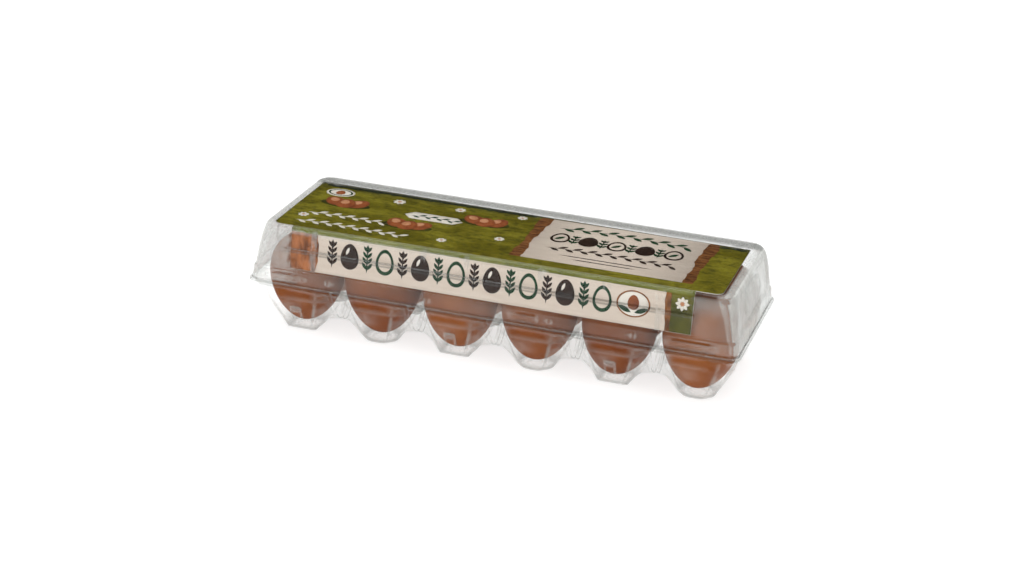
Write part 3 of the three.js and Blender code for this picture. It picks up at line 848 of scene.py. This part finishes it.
def egg_shell(name, tones):
    """Brown and paler brown in clouds and a fine grain, mixed by height with a paler tone painted as
    light
    from above, then the specks: the middles of random cells, let through where a wide noise is strong."""
    r = Recipe(name)
    brown, pale, speck = (linear(*tone) for tone in tones)
    clouds = r.ramp(r.noise(55.0, detail=4.0), 0.3, 0.75)
    fine = r.ramp(r.noise(900.0, detail=2.0), 0.35, 0.75)
    colour = r.mix(clouds, brown, pale)
    colour = r.mix(r.math("MULTIPLY", fine, 0.12), colour, pale)
    high = r.node("ShaderNodeSeparateXYZ", Vector=r.place).outputs["Z"]
    # painted light from above: the shell turns paler with height
    colour = r.mix(r.ramp(high, TOP_LIGHT_FROM, TOP_LIGHT_TO, 0.0, TOP_LIGHT_SHARE), colour, PAINTED_TOP_LIGHT)
    spots = r.node("ShaderNodeTexVoronoi", Vector=r.place, Scale=420.0, Randomness=1.0)
    dots = r.ramp(spots.outputs["Distance"], 0.11, 0.2, 1.0, 0.0)
    few = r.ramp(r.noise(70.0, detail=1.0), 0.5, 0.68)
    colour = r.mix(r.math("MULTIPLY", r.math("MULTIPLY", dots, few), 0.45), colour, speck)
    pores = r.math("ADD", r.noise(1500.0, detail=2.0), r.math("MULTIPLY", r.noise(300.0), 0.8))
    return r.matt(colour, shine=0.03, relief=pores, depth=0.00012, strength=0.55)


SHELLS = {f"egg_{shade}": egg_shell(f"egg_shell_{shade}", tones) for shade, tones in SHELL_TONES.items()}
print(len(SHELLS), "shades of shell")


# %% Fit and make each egg
def egg_axes(along):
    """Two unit directions square to the egg's axis and to each other."""
    first = np.cross(along, [0.0, 1.0, 0.0])
    first /= np.linalg.norm(first)
    return first, np.cross(along, first)


def fit_egg(node):
    """Poles, width and taper of a frame egg. Its radius over the sine of its place is a straight
    line in the cosine of that place, so two numbers say how wide it is and how much it tapers."""
    mesh = frame["nodes"][node].data
    points = np.empty(len(mesh.vertices) * 3, np.float32)
    mesh.vertices.foreach_get("co", points)
    points = points.reshape(-1, 3).astype(float) / MM
    low, high = points[points[:, 2].argmin()], points[points[:, 2].argmax()]
    centre, half = (low + high) / 2, np.linalg.norm(high - low) / 2
    along = (high - low) / (2 * half)
    cosine = -((points - centre) @ along) / half
    radius = np.linalg.norm(np.cross(points - centre, along), axis=1)
    sine = np.sqrt(np.clip(1 - cosine ** 2, 0, 1))
    body = sine > 0.2
    slope, width = np.polyfit(cosine[body], radius[body] / sine[body], 1)
    return centre, along, half, width, -slope / width


EGG_RINGS, EGG_SIDES = 56, 72


def make_egg(node, number, slot):
    """radius = width * sine * (1 - taper * cosine) of the place from pole to pole, plus two shallow
    waves that each egg has turned its own way."""
    centre, along, half, width, taper = fit_egg(node)
    place = np.linspace(0, math.pi, EGG_RINGS)[:, None]
    turn = np.arange(EGG_SIDES)[None, :] * 2 * math.pi / EGG_SIDES
    radius = width * np.sin(place) * (1 - taper * np.cos(place))
    wave = 0.12 * np.sin(2 * turn + number) + 0.07 * np.sin(3 * turn + 2 * place + 1.7 * number)
    radius = radius + wave * np.sin(place) ** 2
    first, second = egg_axes(along)
    points = (centre - along * (half * np.cos(place))[..., None]
              + first * (radius * np.cos(turn))[..., None] + second * (radius * np.sin(turn))[..., None])
    skin, faces = weld(points.reshape(-1, 3), grid_faces(EGG_RINGS, EGG_SIDES, closed=True))
    outward = (point_normals(skin, faces) * (skin - centre)).sum(1).mean()
    if outward < 0:
        faces = flip(faces)
    piece = put_piece(f"egg_shell_{number}", skin, faces, "tray", slot, SHELLS[slot])
    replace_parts(piece, node)


slots = {row["node"]: row["material_slot"] for row in frame["record"]["subparts"]}
for number in range(1, 2 * ALONG + 1):
    make_egg(f"egg_{number}", number, slots[f"egg_{number}"])

# %% [markdown]
# ## The printed card
#
# Under the lid lies a card that covers most of the top and folds down behind the front wall. It is a
# strip of board: one path runs from its back edge over the fold to its free edge, and columns run
# along the carton. The flap is shorter than the top, so it is a piece of its own that starts at the
# fold. The board is white underneath, so the inner skin has a material of its own.

# %% Card materials
FAR_GREEN = linear(40, 44, 22)
FAR_FROM, FAR_TO = 0.028, 0.04
PAPER_SHINE = 0.02


def grass_print(name, *tones):
    """A mown field: dark, light and shade greens mixed by a wide, a middle and a fine grain, and
    darker towards the far edge, whose line wanders."""
    r = Recipe(name)
    dark, light, shade = (linear(*tone) for tone in tones)
    wide = r.ramp(r.noise(34.0, detail=5.0, stretch=(1.0, 2.2, 1.0)), 0.38, 0.62)
    tufts = r.ramp(r.noise(170.0, detail=4.0, roughness=0.65, stretch=(1.0, 1.8, 1.0)), 0.42, 0.7)
    blades = r.ramp(r.noise(600.0, detail=4.0, roughness=0.7), 0.35, 0.65)
    colour = r.mix(wide, dark, light)
    colour = r.mix(r.math("MULTIPLY", tufts, 0.7), colour, shade)
    colour = r.mix(r.math("MULTIPLY", blades, 0.3), colour, shade)
    apart = r.node("ShaderNodeSeparateXYZ", Vector=r.place)
    wander = r.math("MULTIPLY", r.noise(90.0), 0.012)
    far = r.ramp(r.math("ADD", apart.outputs["Y"], wander), FAR_FROM, FAR_TO)
    colour = r.mix(r.math("MULTIPLY", far, 0.6), colour, FAR_GREEN)
    return r.matt(colour, PAPER_SHINE, relief=r.noise(700.0), depth=0.00005, strength=0.3)


def ink(name, colour, second, grain=60.0, share=0.5, stretch=None):
    """One printed colour with a soft second tone in it and a fine paper tooth."""
    r = Recipe(name)
    patches = r.ramp(r.noise(grain, detail=5.0, stretch=stretch), 0.35, 0.7)
    tone = r.mix(r.math("MULTIPLY", patches, share), linear(*colour), linear(*second))
    return r.matt(tone, PAPER_SHINE, relief=r.noise(900.0), depth=0.00004, strength=0.3)


GRASS = grass_print("printed_grass", (104, 96, 6), (138, 130, 34), (58, 55, 3))
CREAM = ink("printed_cream", (219, 205, 191), (204, 188, 172), stretch=(1.0, 6.0, 6.0))
BARE = ink("bare_board", (206, 200, 190), (192, 185, 174))
print("card prints", GRASS.name, CREAM.name, BARE.name)

# %% The card's sheet
CARD = 0.45
CARD_Z = label_high[2] - CARD / 2
LEFT, RIGHT = label_low[0], label_high[0]
FOLD_Y = -42.6
BACK_LEFT, BACK_RIGHT = 36.0, 32.8
CARD_CORNER = 4.5
CARD_COLUMNS = 161
# y and height from the fold, round the shoulder and down inside the wall
fold_knots = np.array([[FOLD_Y, CARD_Z], [-44.2, CARD_Z - 0.48], [-45.0, 66.4], [-46.4, 55.0],
                       [-47.5, SKIRT_HIGH]])
flap_path = respace(round_path(fold_knots, [0.5, 0.6, 1], steps=5),
                    lambda y: np.where(y > -45.1, 0.3, 1.6))


def card_top_grid():
    """Columns from left to right, rows from the back edge to the fold. Each row is as long as the
    card, less twice what the rounded front corners take off it there."""
    share = np.linspace(0, 1, CARD_COLUMNS)
    depth = np.concatenate([np.linspace(0, 0.92, 22), np.linspace(0.935, 1, 12)])[:, None]
    back = BACK_LEFT + (BACK_RIGHT - BACK_LEFT) * share
    y = back + (FOLD_Y - back) * depth
    into = np.clip((FOLD_Y + CARD_CORNER - y) / CARD_CORNER, 0, 1)
    draw = CARD_CORNER * (1 - np.sqrt(np.clip(1 - into ** 2, 0, 1)))
    x = (LEFT + draw) + (RIGHT - LEFT - 2 * draw) * share
    return np.stack([x, y, np.full_like(x, CARD_Z)], -1)


def flap_grid():
    """The same number of columns between the flap's two ends, carried down the path from the fold."""
    x = np.linspace(FLAP_LEFT, FLAP_RIGHT, CARD_COLUMNS)
    across = np.broadcast_to(x, (len(flap_path), len(x)))
    down = np.broadcast_to(flap_path[:, None, :], (*across.shape, 2))
    return np.concatenate([across[..., None], down], -1)


def put_card(name, grid, face):
    """A sheet of board with `face` printed on its upper skin and bare board on all the rest."""
    sheet, faces = weld(grid.reshape(-1, 3), flip(grid_faces(*grid.shape[:2])))
    shell, shell_faces = thicken(sheet, faces, CARD)
    return put_piece(name, shell, shell_faces, "lid", "printed_card", face, inside=(BARE, len(faces)))


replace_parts(put_card("card_top", card_top_grid(), GRASS), "label")
put_card("card_flap", flap_grid(), CREAM)

# %% [markdown]
# ## Print
#
# The print is flat colour in simple shapes: leaves, ovals, rings and bars. It could be painted by
# masks inside the material, but shapes of their own keep a clean edge at any distance. Each is a
# small grid in the card's own two directions, along it and up from the fold, and one function lays
# it on the board, a few hundredths of a millimetre proud, over the fold and down the flap alike.

# %% Lay a shape on the card
fold_length = np.concatenate([[0], np.cumsum(np.linalg.norm(np.diff(flap_path, axis=0), axis=1))])
INK, INK_GAP = 0.03, 0.005
print("the flap is", round(fold_length[-1], 1), "mm deep from the fold to its free edge")


def on_card(x, s, lift):
    """A point x along the card and s up from the fold: above the fold it lies on the flat top, below
    it on the flap's path at that length, moved out by `lift` along the board's normal."""
    flap_y, flap_z = (np.interp(-s, fold_length, path) for path in flap_path.T)
    slope_y, slope_z = (np.interp(-s, fold_length, np.gradient(path, fold_length))
                        for path in flap_path.T)
    size = np.hypot(slope_y, slope_z)
    top = s >= 0
    normal_y = np.where(top, 0.0, slope_z / size)
    normal_z = np.where(top, 1.0, -slope_y / size)
    out = CARD / 2 + lift
    return np.stack([x, np.where(top, FOLD_Y + s, flap_y) + normal_y * out,
                     np.where(top, CARD_Z, flap_z) + normal_z * out], -1)


def put_print(name, colour, shapes, level=1):
    """Joins flat shapes into one piece. Each shape is a pair of grids, x and s. A higher level lies
    over a lower one. A shape whose faces look down, or back where it is on the flap, is turned."""
    laid = []
    for x, s in shapes:
        grid = on_card(x, s, level * (INK + INK_GAP) - INK / 2)
        sheet, faces = weld(grid.reshape(-1, 3), grid_faces(*grid.shape[:2]), near=0.0005)
        _, back, up = point_normals(sheet, faces).mean(0)
        on_flap = sheet[:, 2].max() < CARD_Z
        if up < 0 or (on_flap and back > 0):
            faces = flip(faces)
        laid.append(thicken(sheet, faces, INK))
    put_piece(name, *merge(laid), "lid", "printed_card", colour)


# %% Simple shapes
def cross_grid(first, second):
    """Two grids: rows run through the first list of numbers and columns through the second."""
    return np.meshgrid(first, second, indexing="ij")


def placed(x, s, degrees, along, across):
    """Places along and across a direction, turned by it and moved to (x, s)."""
    c, d = math.cos(math.radians(degrees)), math.sin(math.radians(degrees))
    return x + along * c - across * d, s + along * d + across * c


def leaf(x, s, length, width, angle):
    """A pointed oval from (x, s) outwards at `angle` degrees: its half width is half of `width` times
    the sine of the share of its length, to the power 0.85."""
    t, v = cross_grid(np.linspace(0, 1, 9), np.linspace(-1, 1, 3))
    return placed(x, s, angle, t * length, v * width / 2 * np.sin(np.pi * t) ** 0.85)


def oval(x, s, wide, tall, inner=0.0, taper=0.0, turn=0.0, columns=28):
    """An egg-shaped disc, or a ring where `inner` is above 0: radius grows along the rows, and the
    sides draw in towards the top by `taper` times the sine."""
    r, a = cross_grid(np.linspace(inner, 1, 3 if inner else 4), np.linspace(0, 2 * math.pi, columns + 1))
    sideways = wide / 2 * r * np.cos(a) * (1 - taper * r * np.sin(a))
    return placed(x, s, turn, sideways, tall / 2 * r * np.sin(a))


def bar(x, s, length, width, angle=0.0, rows=9):
    """A straight bar centred on (x, s). Its half width shrinks at the ends by the root of one less
    the share of its half length to the power 14, which rounds them softly."""
    t, v = cross_grid(np.linspace(-1, 1, rows), np.linspace(-1, 1, 3))
    half = width / 2 * (1 - np.abs(t) ** 14) ** 0.5
    return placed(x, s, angle, t * length / 2, v * half)


def band(s_from, s_to, left, right, rows=30, columns=3):
    """A field between two edges, each a function that gives x for a height s."""
    t, v = cross_grid(np.linspace(0, 1, rows), np.linspace(0, 1, columns))
    s = s_from + (s_to - s_from) * t
    return left(s) + (right(s) - left(s)) * v, s


def straight_edge(x):
    """An edge that keeps to one x."""
    return lambda s: np.full_like(s, x)


def rough_edge(x, lean, size, seed):
    """An edge that wanders as torn bark does: a line leaning with s, plus four sine waves."""
    phase = np.random.default_rng(seed).uniform(0, 2 * math.pi, 4)
    return lambda s: x + lean * s + size * sum(
        np.sin(s / span + phase[k]) * share
        for k, (span, share) in enumerate(((9.0, 0.9), (3.7, 0.5), (1.6, 0.3), (0.8, 0.15))))


# %% Inks
UMBER = ink("umber_ink", (38, 22, 14), (58, 38, 27), grain=200.0)
PINE = ink("pine_ink", (14, 54, 28), (26, 70, 40), grain=200.0)
BARK = ink("bark_ink", (150, 96, 52), (76, 42, 16), grain=150.0, share=0.9, stretch=(1.0, 3.0, 1.0))
TORN = ink("torn_bark", (182, 113, 68), (104, 56, 26), grain=170.0, share=1.0, stretch=(1.6, 1.0, 0.7))
RUST = ink("rust_ink", (158, 88, 48), (120, 60, 30), grain=160.0, share=0.8)
SAND = ink("sand_ink", (206, 150, 112), (184, 122, 84), grain=160.0, share=0.8)
CHALK = ink("chalk_ink", (236, 230, 220), (224, 214, 202), grain=160.0)
MOSS = grass_print("printed_moss", (86, 84, 14), (112, 108, 34), (46, 50, 5))
# the green over the card's fold, printed paler as a painted highlight where the lid's shoulder catches
# the light
HIGHLIT_GRASS = grass_print("grass_print_painted_highlight", (104, 108, 40), (124, 126, 62), (78, 82, 24))
SHADE = grass_print("printed_shade", (62, 60, 8), (78, 76, 16), (44, 44, 6))
HEDGE = grass_print("printed_hedge", (44, 52, 20), (70, 80, 44), (26, 32, 10))
print("eleven more inks and prints, from", UMBER.name, "to", HEDGE.name)

# %% Fields of colour
PANEL_LEFT, PANEL_RIGHT, PANEL_LOW, PANEL_HIGH = 10.0, 110.0, 8.6, 75.0
FOLD_STRIP_LOW = -3.6
flap_low = 0.15 - fold_length[-1]
left_in = rough_edge(PANEL_LEFT + 3.0, 0.0, 0.9, seed=3)
right_in = rough_edge(PANEL_RIGHT - 3.0, 0.02, 0.9, seed=5)
left_out = rough_edge(PANEL_LEFT - 3.2, 0.0, 0.7, seed=7)
right_out = rough_edge(PANEL_RIGHT + 3.0, 0.03, 0.7, seed=11)
start_edge = rough_edge(-105.5, 0, 0.8, seed=19)
end_edge = rough_edge(105.0, 0, 0.5, seed=13)
bark_edges = rough_edge(102.4, 0, 0.5, seed=17), rough_edge(105.6, 0, 0.5, seed=13)
put_print("panel_bark", BARK, [band(PANEL_LOW, PANEL_HIGH, left_out, right_out, rows=90)])
put_print("panel_field", CREAM, [band(PANEL_LOW, PANEL_HIGH, left_in, right_in, rows=90)], level=2)
# the grass print wrapped over the fold, in the paler green that paints a highlight there
put_print("fold_strip", HIGHLIT_GRASS, [band(-0.1, FOLD_STRIP_LOW, straight_edge(FLAP_LEFT),
                                          straight_edge(FLAP_RIGHT), rows=14, columns=41)])
for name, colour, left, right, level in (
        ("flap_end_field", MOSS, end_edge, straight_edge(FLAP_RIGHT - 0.1), 1),
        ("flap_end_bark", BARK, *bark_edges, 2),
        ("flap_start_bark", TORN, straight_edge(FLAP_LEFT + 0.1), start_edge, 1)):
    put_print(name, colour, [band(FOLD_STRIP_LOW, flap_low, left, right, rows=40)], level)


# %% Sprigs and clutches of eggs
EGG_TAPER = 0.14


def sprig(x, s, tall, pairs=4, leaf_size=(5.4, 2.0), spread=36.0):
    """A stem with pairs of leaves up it and one at its tip."""
    steps = np.linspace(0.12, 0.74, pairs) * tall
    leaves = [leaf(x, s + step, leaf_size[0] * size, leaf_size[1] * size, 90 + side * spread)
              for step, size in zip(steps, np.linspace(1.0, 0.8, pairs)) for side in (-1, 1)]
    stem = bar(x, s + tall * 0.42, tall * 0.84, 0.8, 90)
    return [stem, *leaves, leaf(x, s + tall * 0.68, tall * 0.32, 2.2, 90)]


# along the flap: a brown sprig, a brown egg, a green sprig and a green ring, four times over
frieze_x = np.linspace(-96.0, 66.0, 16)
FRIEZE_LOW = -21.6
for name, colour, sprigs, eggs, inner in (("frieze_umber", UMBER, frieze_x[0::4], frieze_x[1::4], 0.0),
                                          ("frieze_pine", PINE, frieze_x[2::4], frieze_x[3::4], 0.72)):
    put_print(name, colour, [shape for x in sprigs for shape in sprig(x, FRIEZE_LOW, 16.8)]
              + [oval(x, FRIEZE_LOW + 8.2, 11.0, 15.4, inner, taper=0.16) for x in eggs])
put_print("frieze_chalk", CHALK,
          [leaf(x - 2.2, FRIEZE_LOW + 9.0, 5.0, 1.7, 70) for x in frieze_x[1::4]], level=2)

# each clutch: x, s and how far its eggs are turned
clutches = [(-108.0, 49.0, 8), (-62.0, 30.0, -6), (-22.0, 54.0, 14)]
outer_eggs = [(x + dx, s + ds, turn + lean) for x, s, turn in clutches
              for dx, ds, lean in ((-7.4, 0.6, 34), (7.2, 0.2, -38))]
middle_eggs = [(x, s - 1.6, turn) for x, s, turn in clutches]
put_print("clutch_shade", SHADE, [oval(x, s - 3.0, 31.0, 12.0) for x, s, _ in clutches])
for name, places, level in (("outer", outer_eggs, 2), ("middle", middle_eggs, 4)):
    eggs = [oval(x, s, 11.8, 15.2, taper=EGG_TAPER, turn=turn) for x, s, turn in places]
    lights = [oval(x - 1.4, s + 2.2, 5.2, 6.6, taper=EGG_TAPER, turn=turn) for x, s, turn in places]
    put_print(f"clutch_{name}_eggs", RUST, eggs, level)
    put_print(f"clutch_{name}_light", SAND, lights, level + 1)


# %% Daisies, vines, a hedge and badges
def daisy(x, s, size, petals=8):
    """Petals round a middle, each a leaf that starts near the centre."""
    start = 0.12 * size
    ways = np.linspace(0, 2 * math.pi, petals, endpoint=False)
    return [leaf(x + start * math.cos(way), s + start * math.sin(way), 0.42 * size, 0.26 * size,
                 math.degrees(way)) for way in ways]


def vine(x, s, length, size, rise=0.0):
    """A stem along a shallow arc, with leaves in turn above and below it that all point on. The arc's
    height is `rise` times one minus the square of the share of the half length."""
    count = round(length / (0.62 * size))
    pieces = []
    for k, u in enumerate(np.linspace(-1, 1, count)):
        at = (x + length / 2 * u, s + rise * (1 - u * u))
        slope = math.degrees(math.atan2(-2 * rise * u, length / 2))
        pieces.append(bar(*at, 1.15 * length / count, 0.11 * size, slope, rows=3))
        pieces.append(leaf(*at, size, 0.42 * size, slope + (34 if k % 2 else -34)))
    return pieces


def hedge(left, right, s, seed):
    """Low round bushes side by side along the field's far edge, with uneven sizes."""
    draw = np.random.default_rng(seed)
    return [oval(x, s - 0.8 + draw.uniform(-0.5, 0.3), draw.uniform(4.2, 7.0), draw.uniform(2.6, 4.6),
                 columns=12) for x in np.arange(left, right, 3.4)]


BADGE, TAG = (-118, 64), (-52, 46)
# each daisy: x, s and size
daisies = [(-124, 20, 6.5), (-80, 64, 7.5), (-42, 66, 6.5), (-36, 14, 6), (-6, 30, 6), (-4, 69, 6)]
put_print("far_hedge", HEDGE, hedge(-128, 4, 75.2, seed=23) + hedge(118, 131, 73.2, seed=29))
put_print("daisy_petals", CHALK, [petal for spot in daisies for petal in daisy(*spot)])
put_print("daisy_middles", SAND,
          [oval(x, s, 0.3 * size, 0.3 * size, columns=12) for x, s, size in daisies], level=2)
put_print("grass_vines", CHALK, vine(-92, 10.5, 62, 6.2, rise=1.0) + vine(-98, 25.5, 46, 6.2, rise=1.0))
put_print("badge_field", CHALK, [oval(*BADGE, 18, 13), bar(*TAG, 36, 11)])
put_print("badge_mark", PINE,
          [oval(*BADGE, 15.4, 10.6, inner=0.84)] + vine(TAG[0], TAG[1] - 0.6, 25, 5.0, rise=0.8), level=2)
put_print("badge_egg", RUST, [oval(*BADGE, 5.6, 7.2, taper=EGG_TAPER)], level=2)

# %% The panel and the flap's badge
PANEL_EGG_S, FLAP_BADGE, FLAP_DAISY = 47, (84, -13.4), (111.6, -9.0)
panel_x = (PANEL_LEFT + PANEL_RIGHT) / 2
panel_eggs = panel_x + np.linspace(-34, 34, 5)
panel_gaps = panel_x + np.linspace(-25.5, 25.5, 4)
put_print("panel_umber", UMBER,
          [oval(x, PANEL_EGG_S, 11.4, 15.6, inner=0.0 if k % 2 else 0.74, taper=EGG_TAPER)
           for k, x in enumerate(panel_eggs)]
          + vine(panel_x, 29.5, 70, 6.6, rise=1.6)
          + [bar(panel_x, s, length, 1.1) for s, length in ((20.5, 56), (16.2, 38))], level=3)
put_print("panel_pine", PINE,
          vine(panel_x, 62.5, 72, 7.6, rise=2.6)
          + [shape for x in panel_gaps for shape in sprig(x, 39.5, 14, pairs=3, leaf_size=(5.2, 2.2))]
          + [leaf(x - 2.9, PANEL_EGG_S - 3.4, 8.0, 3.0, 50) for x in panel_eggs[0::2]], level=3)
badge_x, badge_s = FLAP_BADGE
put_print("flap_badge_field", CHALK, [oval(*FLAP_BADGE, 19, 15)])
put_print("flap_badge_ring", BARK, [oval(*FLAP_BADGE, 19.6, 15.6, inner=0.9)], level=2)
put_print("flap_badge_egg", RUST, [oval(badge_x, badge_s + 0.8, 6.6, 8.6, taper=EGG_TAPER)], level=2)
put_print("flap_badge_leaves", PINE,
          [leaf(badge_x + side, badge_s - 5.0, 8.4, 2.8, 90 - 68 * side) for side in (-1, 1)], level=3)
put_print("flap_daisy", CHALK, daisy(*FLAP_DAISY, 7.6), level=2)
put_print("flap_daisy_middle", SAND, [oval(*FLAP_DAISY, 2.4, 2.4, columns=14)], level=3)

# %% [markdown]
# ## Floor, light and camera
#
# A wide pale floor and soft light from above give the plain look of a studio table. Clear plastic
# shows mostly what it mirrors, so the room matters: the floor and the foot of the walls are pale and
# the light overhead is large. In between the walls are dark, which keeps the lid's top from turning
# white.

# %% Floor and room
FLOOR_HALF = 40.0
# height from and to, and the tone at each: the walls' pale foot and the light overhead
PALE_FOOT, OVERHEAD = (0.10, 0.17, 1.25, 0.0), (0.42, 0.7, 0.015, 1.15)


def make_floor():
    """A wide pale square at the carton's feet, in metres, that glows a little of itself."""
    mesh = bpy.data.meshes.new("floor")
    corners = [(FLOOR_HALF * a, FLOOR_HALF * b, 0) for a, b in ((-1, -1), (1, -1), (1, 1), (-1, 1))]
    mesh.from_pydata(corners, [], [(0, 1, 2, 3)])
    r = Recipe("pale_floor")
    tone = r.mix(r.noise(3.0), (0.49, 0.49, 0.49), (0.51, 0.51, 0.51))
    lit = r.node("ShaderNodeBsdfDiffuse", Color=tone).outputs[0]
    glow = r.node("ShaderNodeEmission", Color=(1.0, 1.0, 1.0), Strength=0.75).outputs[0]
    mesh.materials.append(r.finish(r.node("ShaderNodeAddShader", i0=lit, i1=glow).outputs[0]))
    floor = bpy.data.objects.new("floor", mesh)
    bpy.context.scene.collection.objects.link(floor)


def make_room():
    """A room that is as pale as the floor up to a low height, dark above that, and bright overhead:
    the height of a ray picks its tone."""
    world = bpy.data.worlds.new("room")
    world.use_nodes = True
    tree = world.node_tree
    tree.nodes.clear()
    place = tree.nodes.new("ShaderNodeTexCoord")
    apart = tree.nodes.new("ShaderNodeSeparateXYZ")
    tree.links.new(place.outputs["Generated"], apart.inputs[0])
    both = tree.nodes.new("ShaderNodeMath")
    for socket, numbers in enumerate((PALE_FOOT, OVERHEAD)):
        tone = tree.nodes.new("ShaderNodeMapRange")
        tree.links.new(apart.outputs["Z"], tone.inputs["Value"])
        for key, value in zip(("From Min", "From Max", "To Min", "To Max"), numbers):
            tone.inputs[key].default_value = value
        tree.links.new(tone.outputs["Result"], both.inputs[socket])
    light = tree.nodes.new("ShaderNodeBackground")
    out = tree.nodes.new("ShaderNodeOutputWorld")
    tree.links.new(both.outputs[0], light.inputs["Strength"])
    tree.links.new(light.outputs[0], out.inputs["Surface"])
    bpy.context.scene.world = world


def soft_box(name, place, aim, size, power):
    """A rectangular lamp, in metres and watts, that faces the point it is aimed at."""
    lamp = bpy.data.lights.new(name, "AREA")
    lamp.shape = "RECTANGLE"
    lamp.size, lamp.size_y = size
    lamp.energy = power
    box = bpy.data.objects.new(name, lamp)
    box.location = place
    box.rotation_euler = (Vector(aim) - Vector(place)).to_track_quat("-Z", "Y").to_euler()
    bpy.context.scene.collection.objects.link(box)


make_floor()
make_room()
soft_box("overhead_soft_box", (0.0, -0.1, 1.5), (0, 0, 0), (1.6, 1.2), 12)
soft_box("front_soft_box", (-0.9, -1.5, 0.9), (0, 0, 0.03), (0.9, 0.9), 8)
print("a pale room and two soft boxes")

# %% [markdown]
# ## Camera
#
# The view was worked out from the carton's own corners and the even spacing of its eggs: a long lens,
# a little to the right of straight in front, looking down, and turned slightly about its own axis.

# %% Camera
def make_camera(azimuth, elevation, roll, distance, target, lens):
    """Looks at the target from that direction; azimuth 0 looks along +Y, and roll turns the picture."""
    a, e, k = (math.radians(v) for v in (azimuth, elevation, roll))
    back = Vector((math.sin(a) * math.cos(e), -math.cos(a) * math.cos(e), math.sin(e)))
    right = Vector((math.cos(a), math.sin(a), 0))
    up = back.cross(right)
    turned_right = right * math.cos(k) + up * math.sin(k)
    turned_up = up * math.cos(k) - right * math.sin(k)
    camera = bpy.data.objects.new("camera", bpy.data.cameras.new("camera"))
    camera.data.lens = lens
    camera.data.sensor_width = 36.0
    camera.data.clip_start, camera.data.clip_end = 0.05, 50.0
    turn = Matrix((turned_right, turned_up, back)).transposed()
    camera.matrix_world = Matrix.Translation(Vector(target) * MM + back * distance * MM) @ turn.to_4x4()
    bpy.context.scene.collection.objects.link(camera)
    bpy.context.scene.camera = camera


make_camera(azimuth=16.48, elevation=22.05, roll=3.1, distance=1282.9, target=(-0.5, 0.0, 34.2),
            lens=76.57)
print("the camera stands", [round(v, 3) for v in bpy.context.scene.camera.matrix_world.translation])
scene = bpy.context.scene
scene.view_settings.view_transform = "Standard"
scene.cycles.max_bounces = 16
scene.cycles.transparent_max_bounces = 64
scene.cycles.glossy_bounces = 6
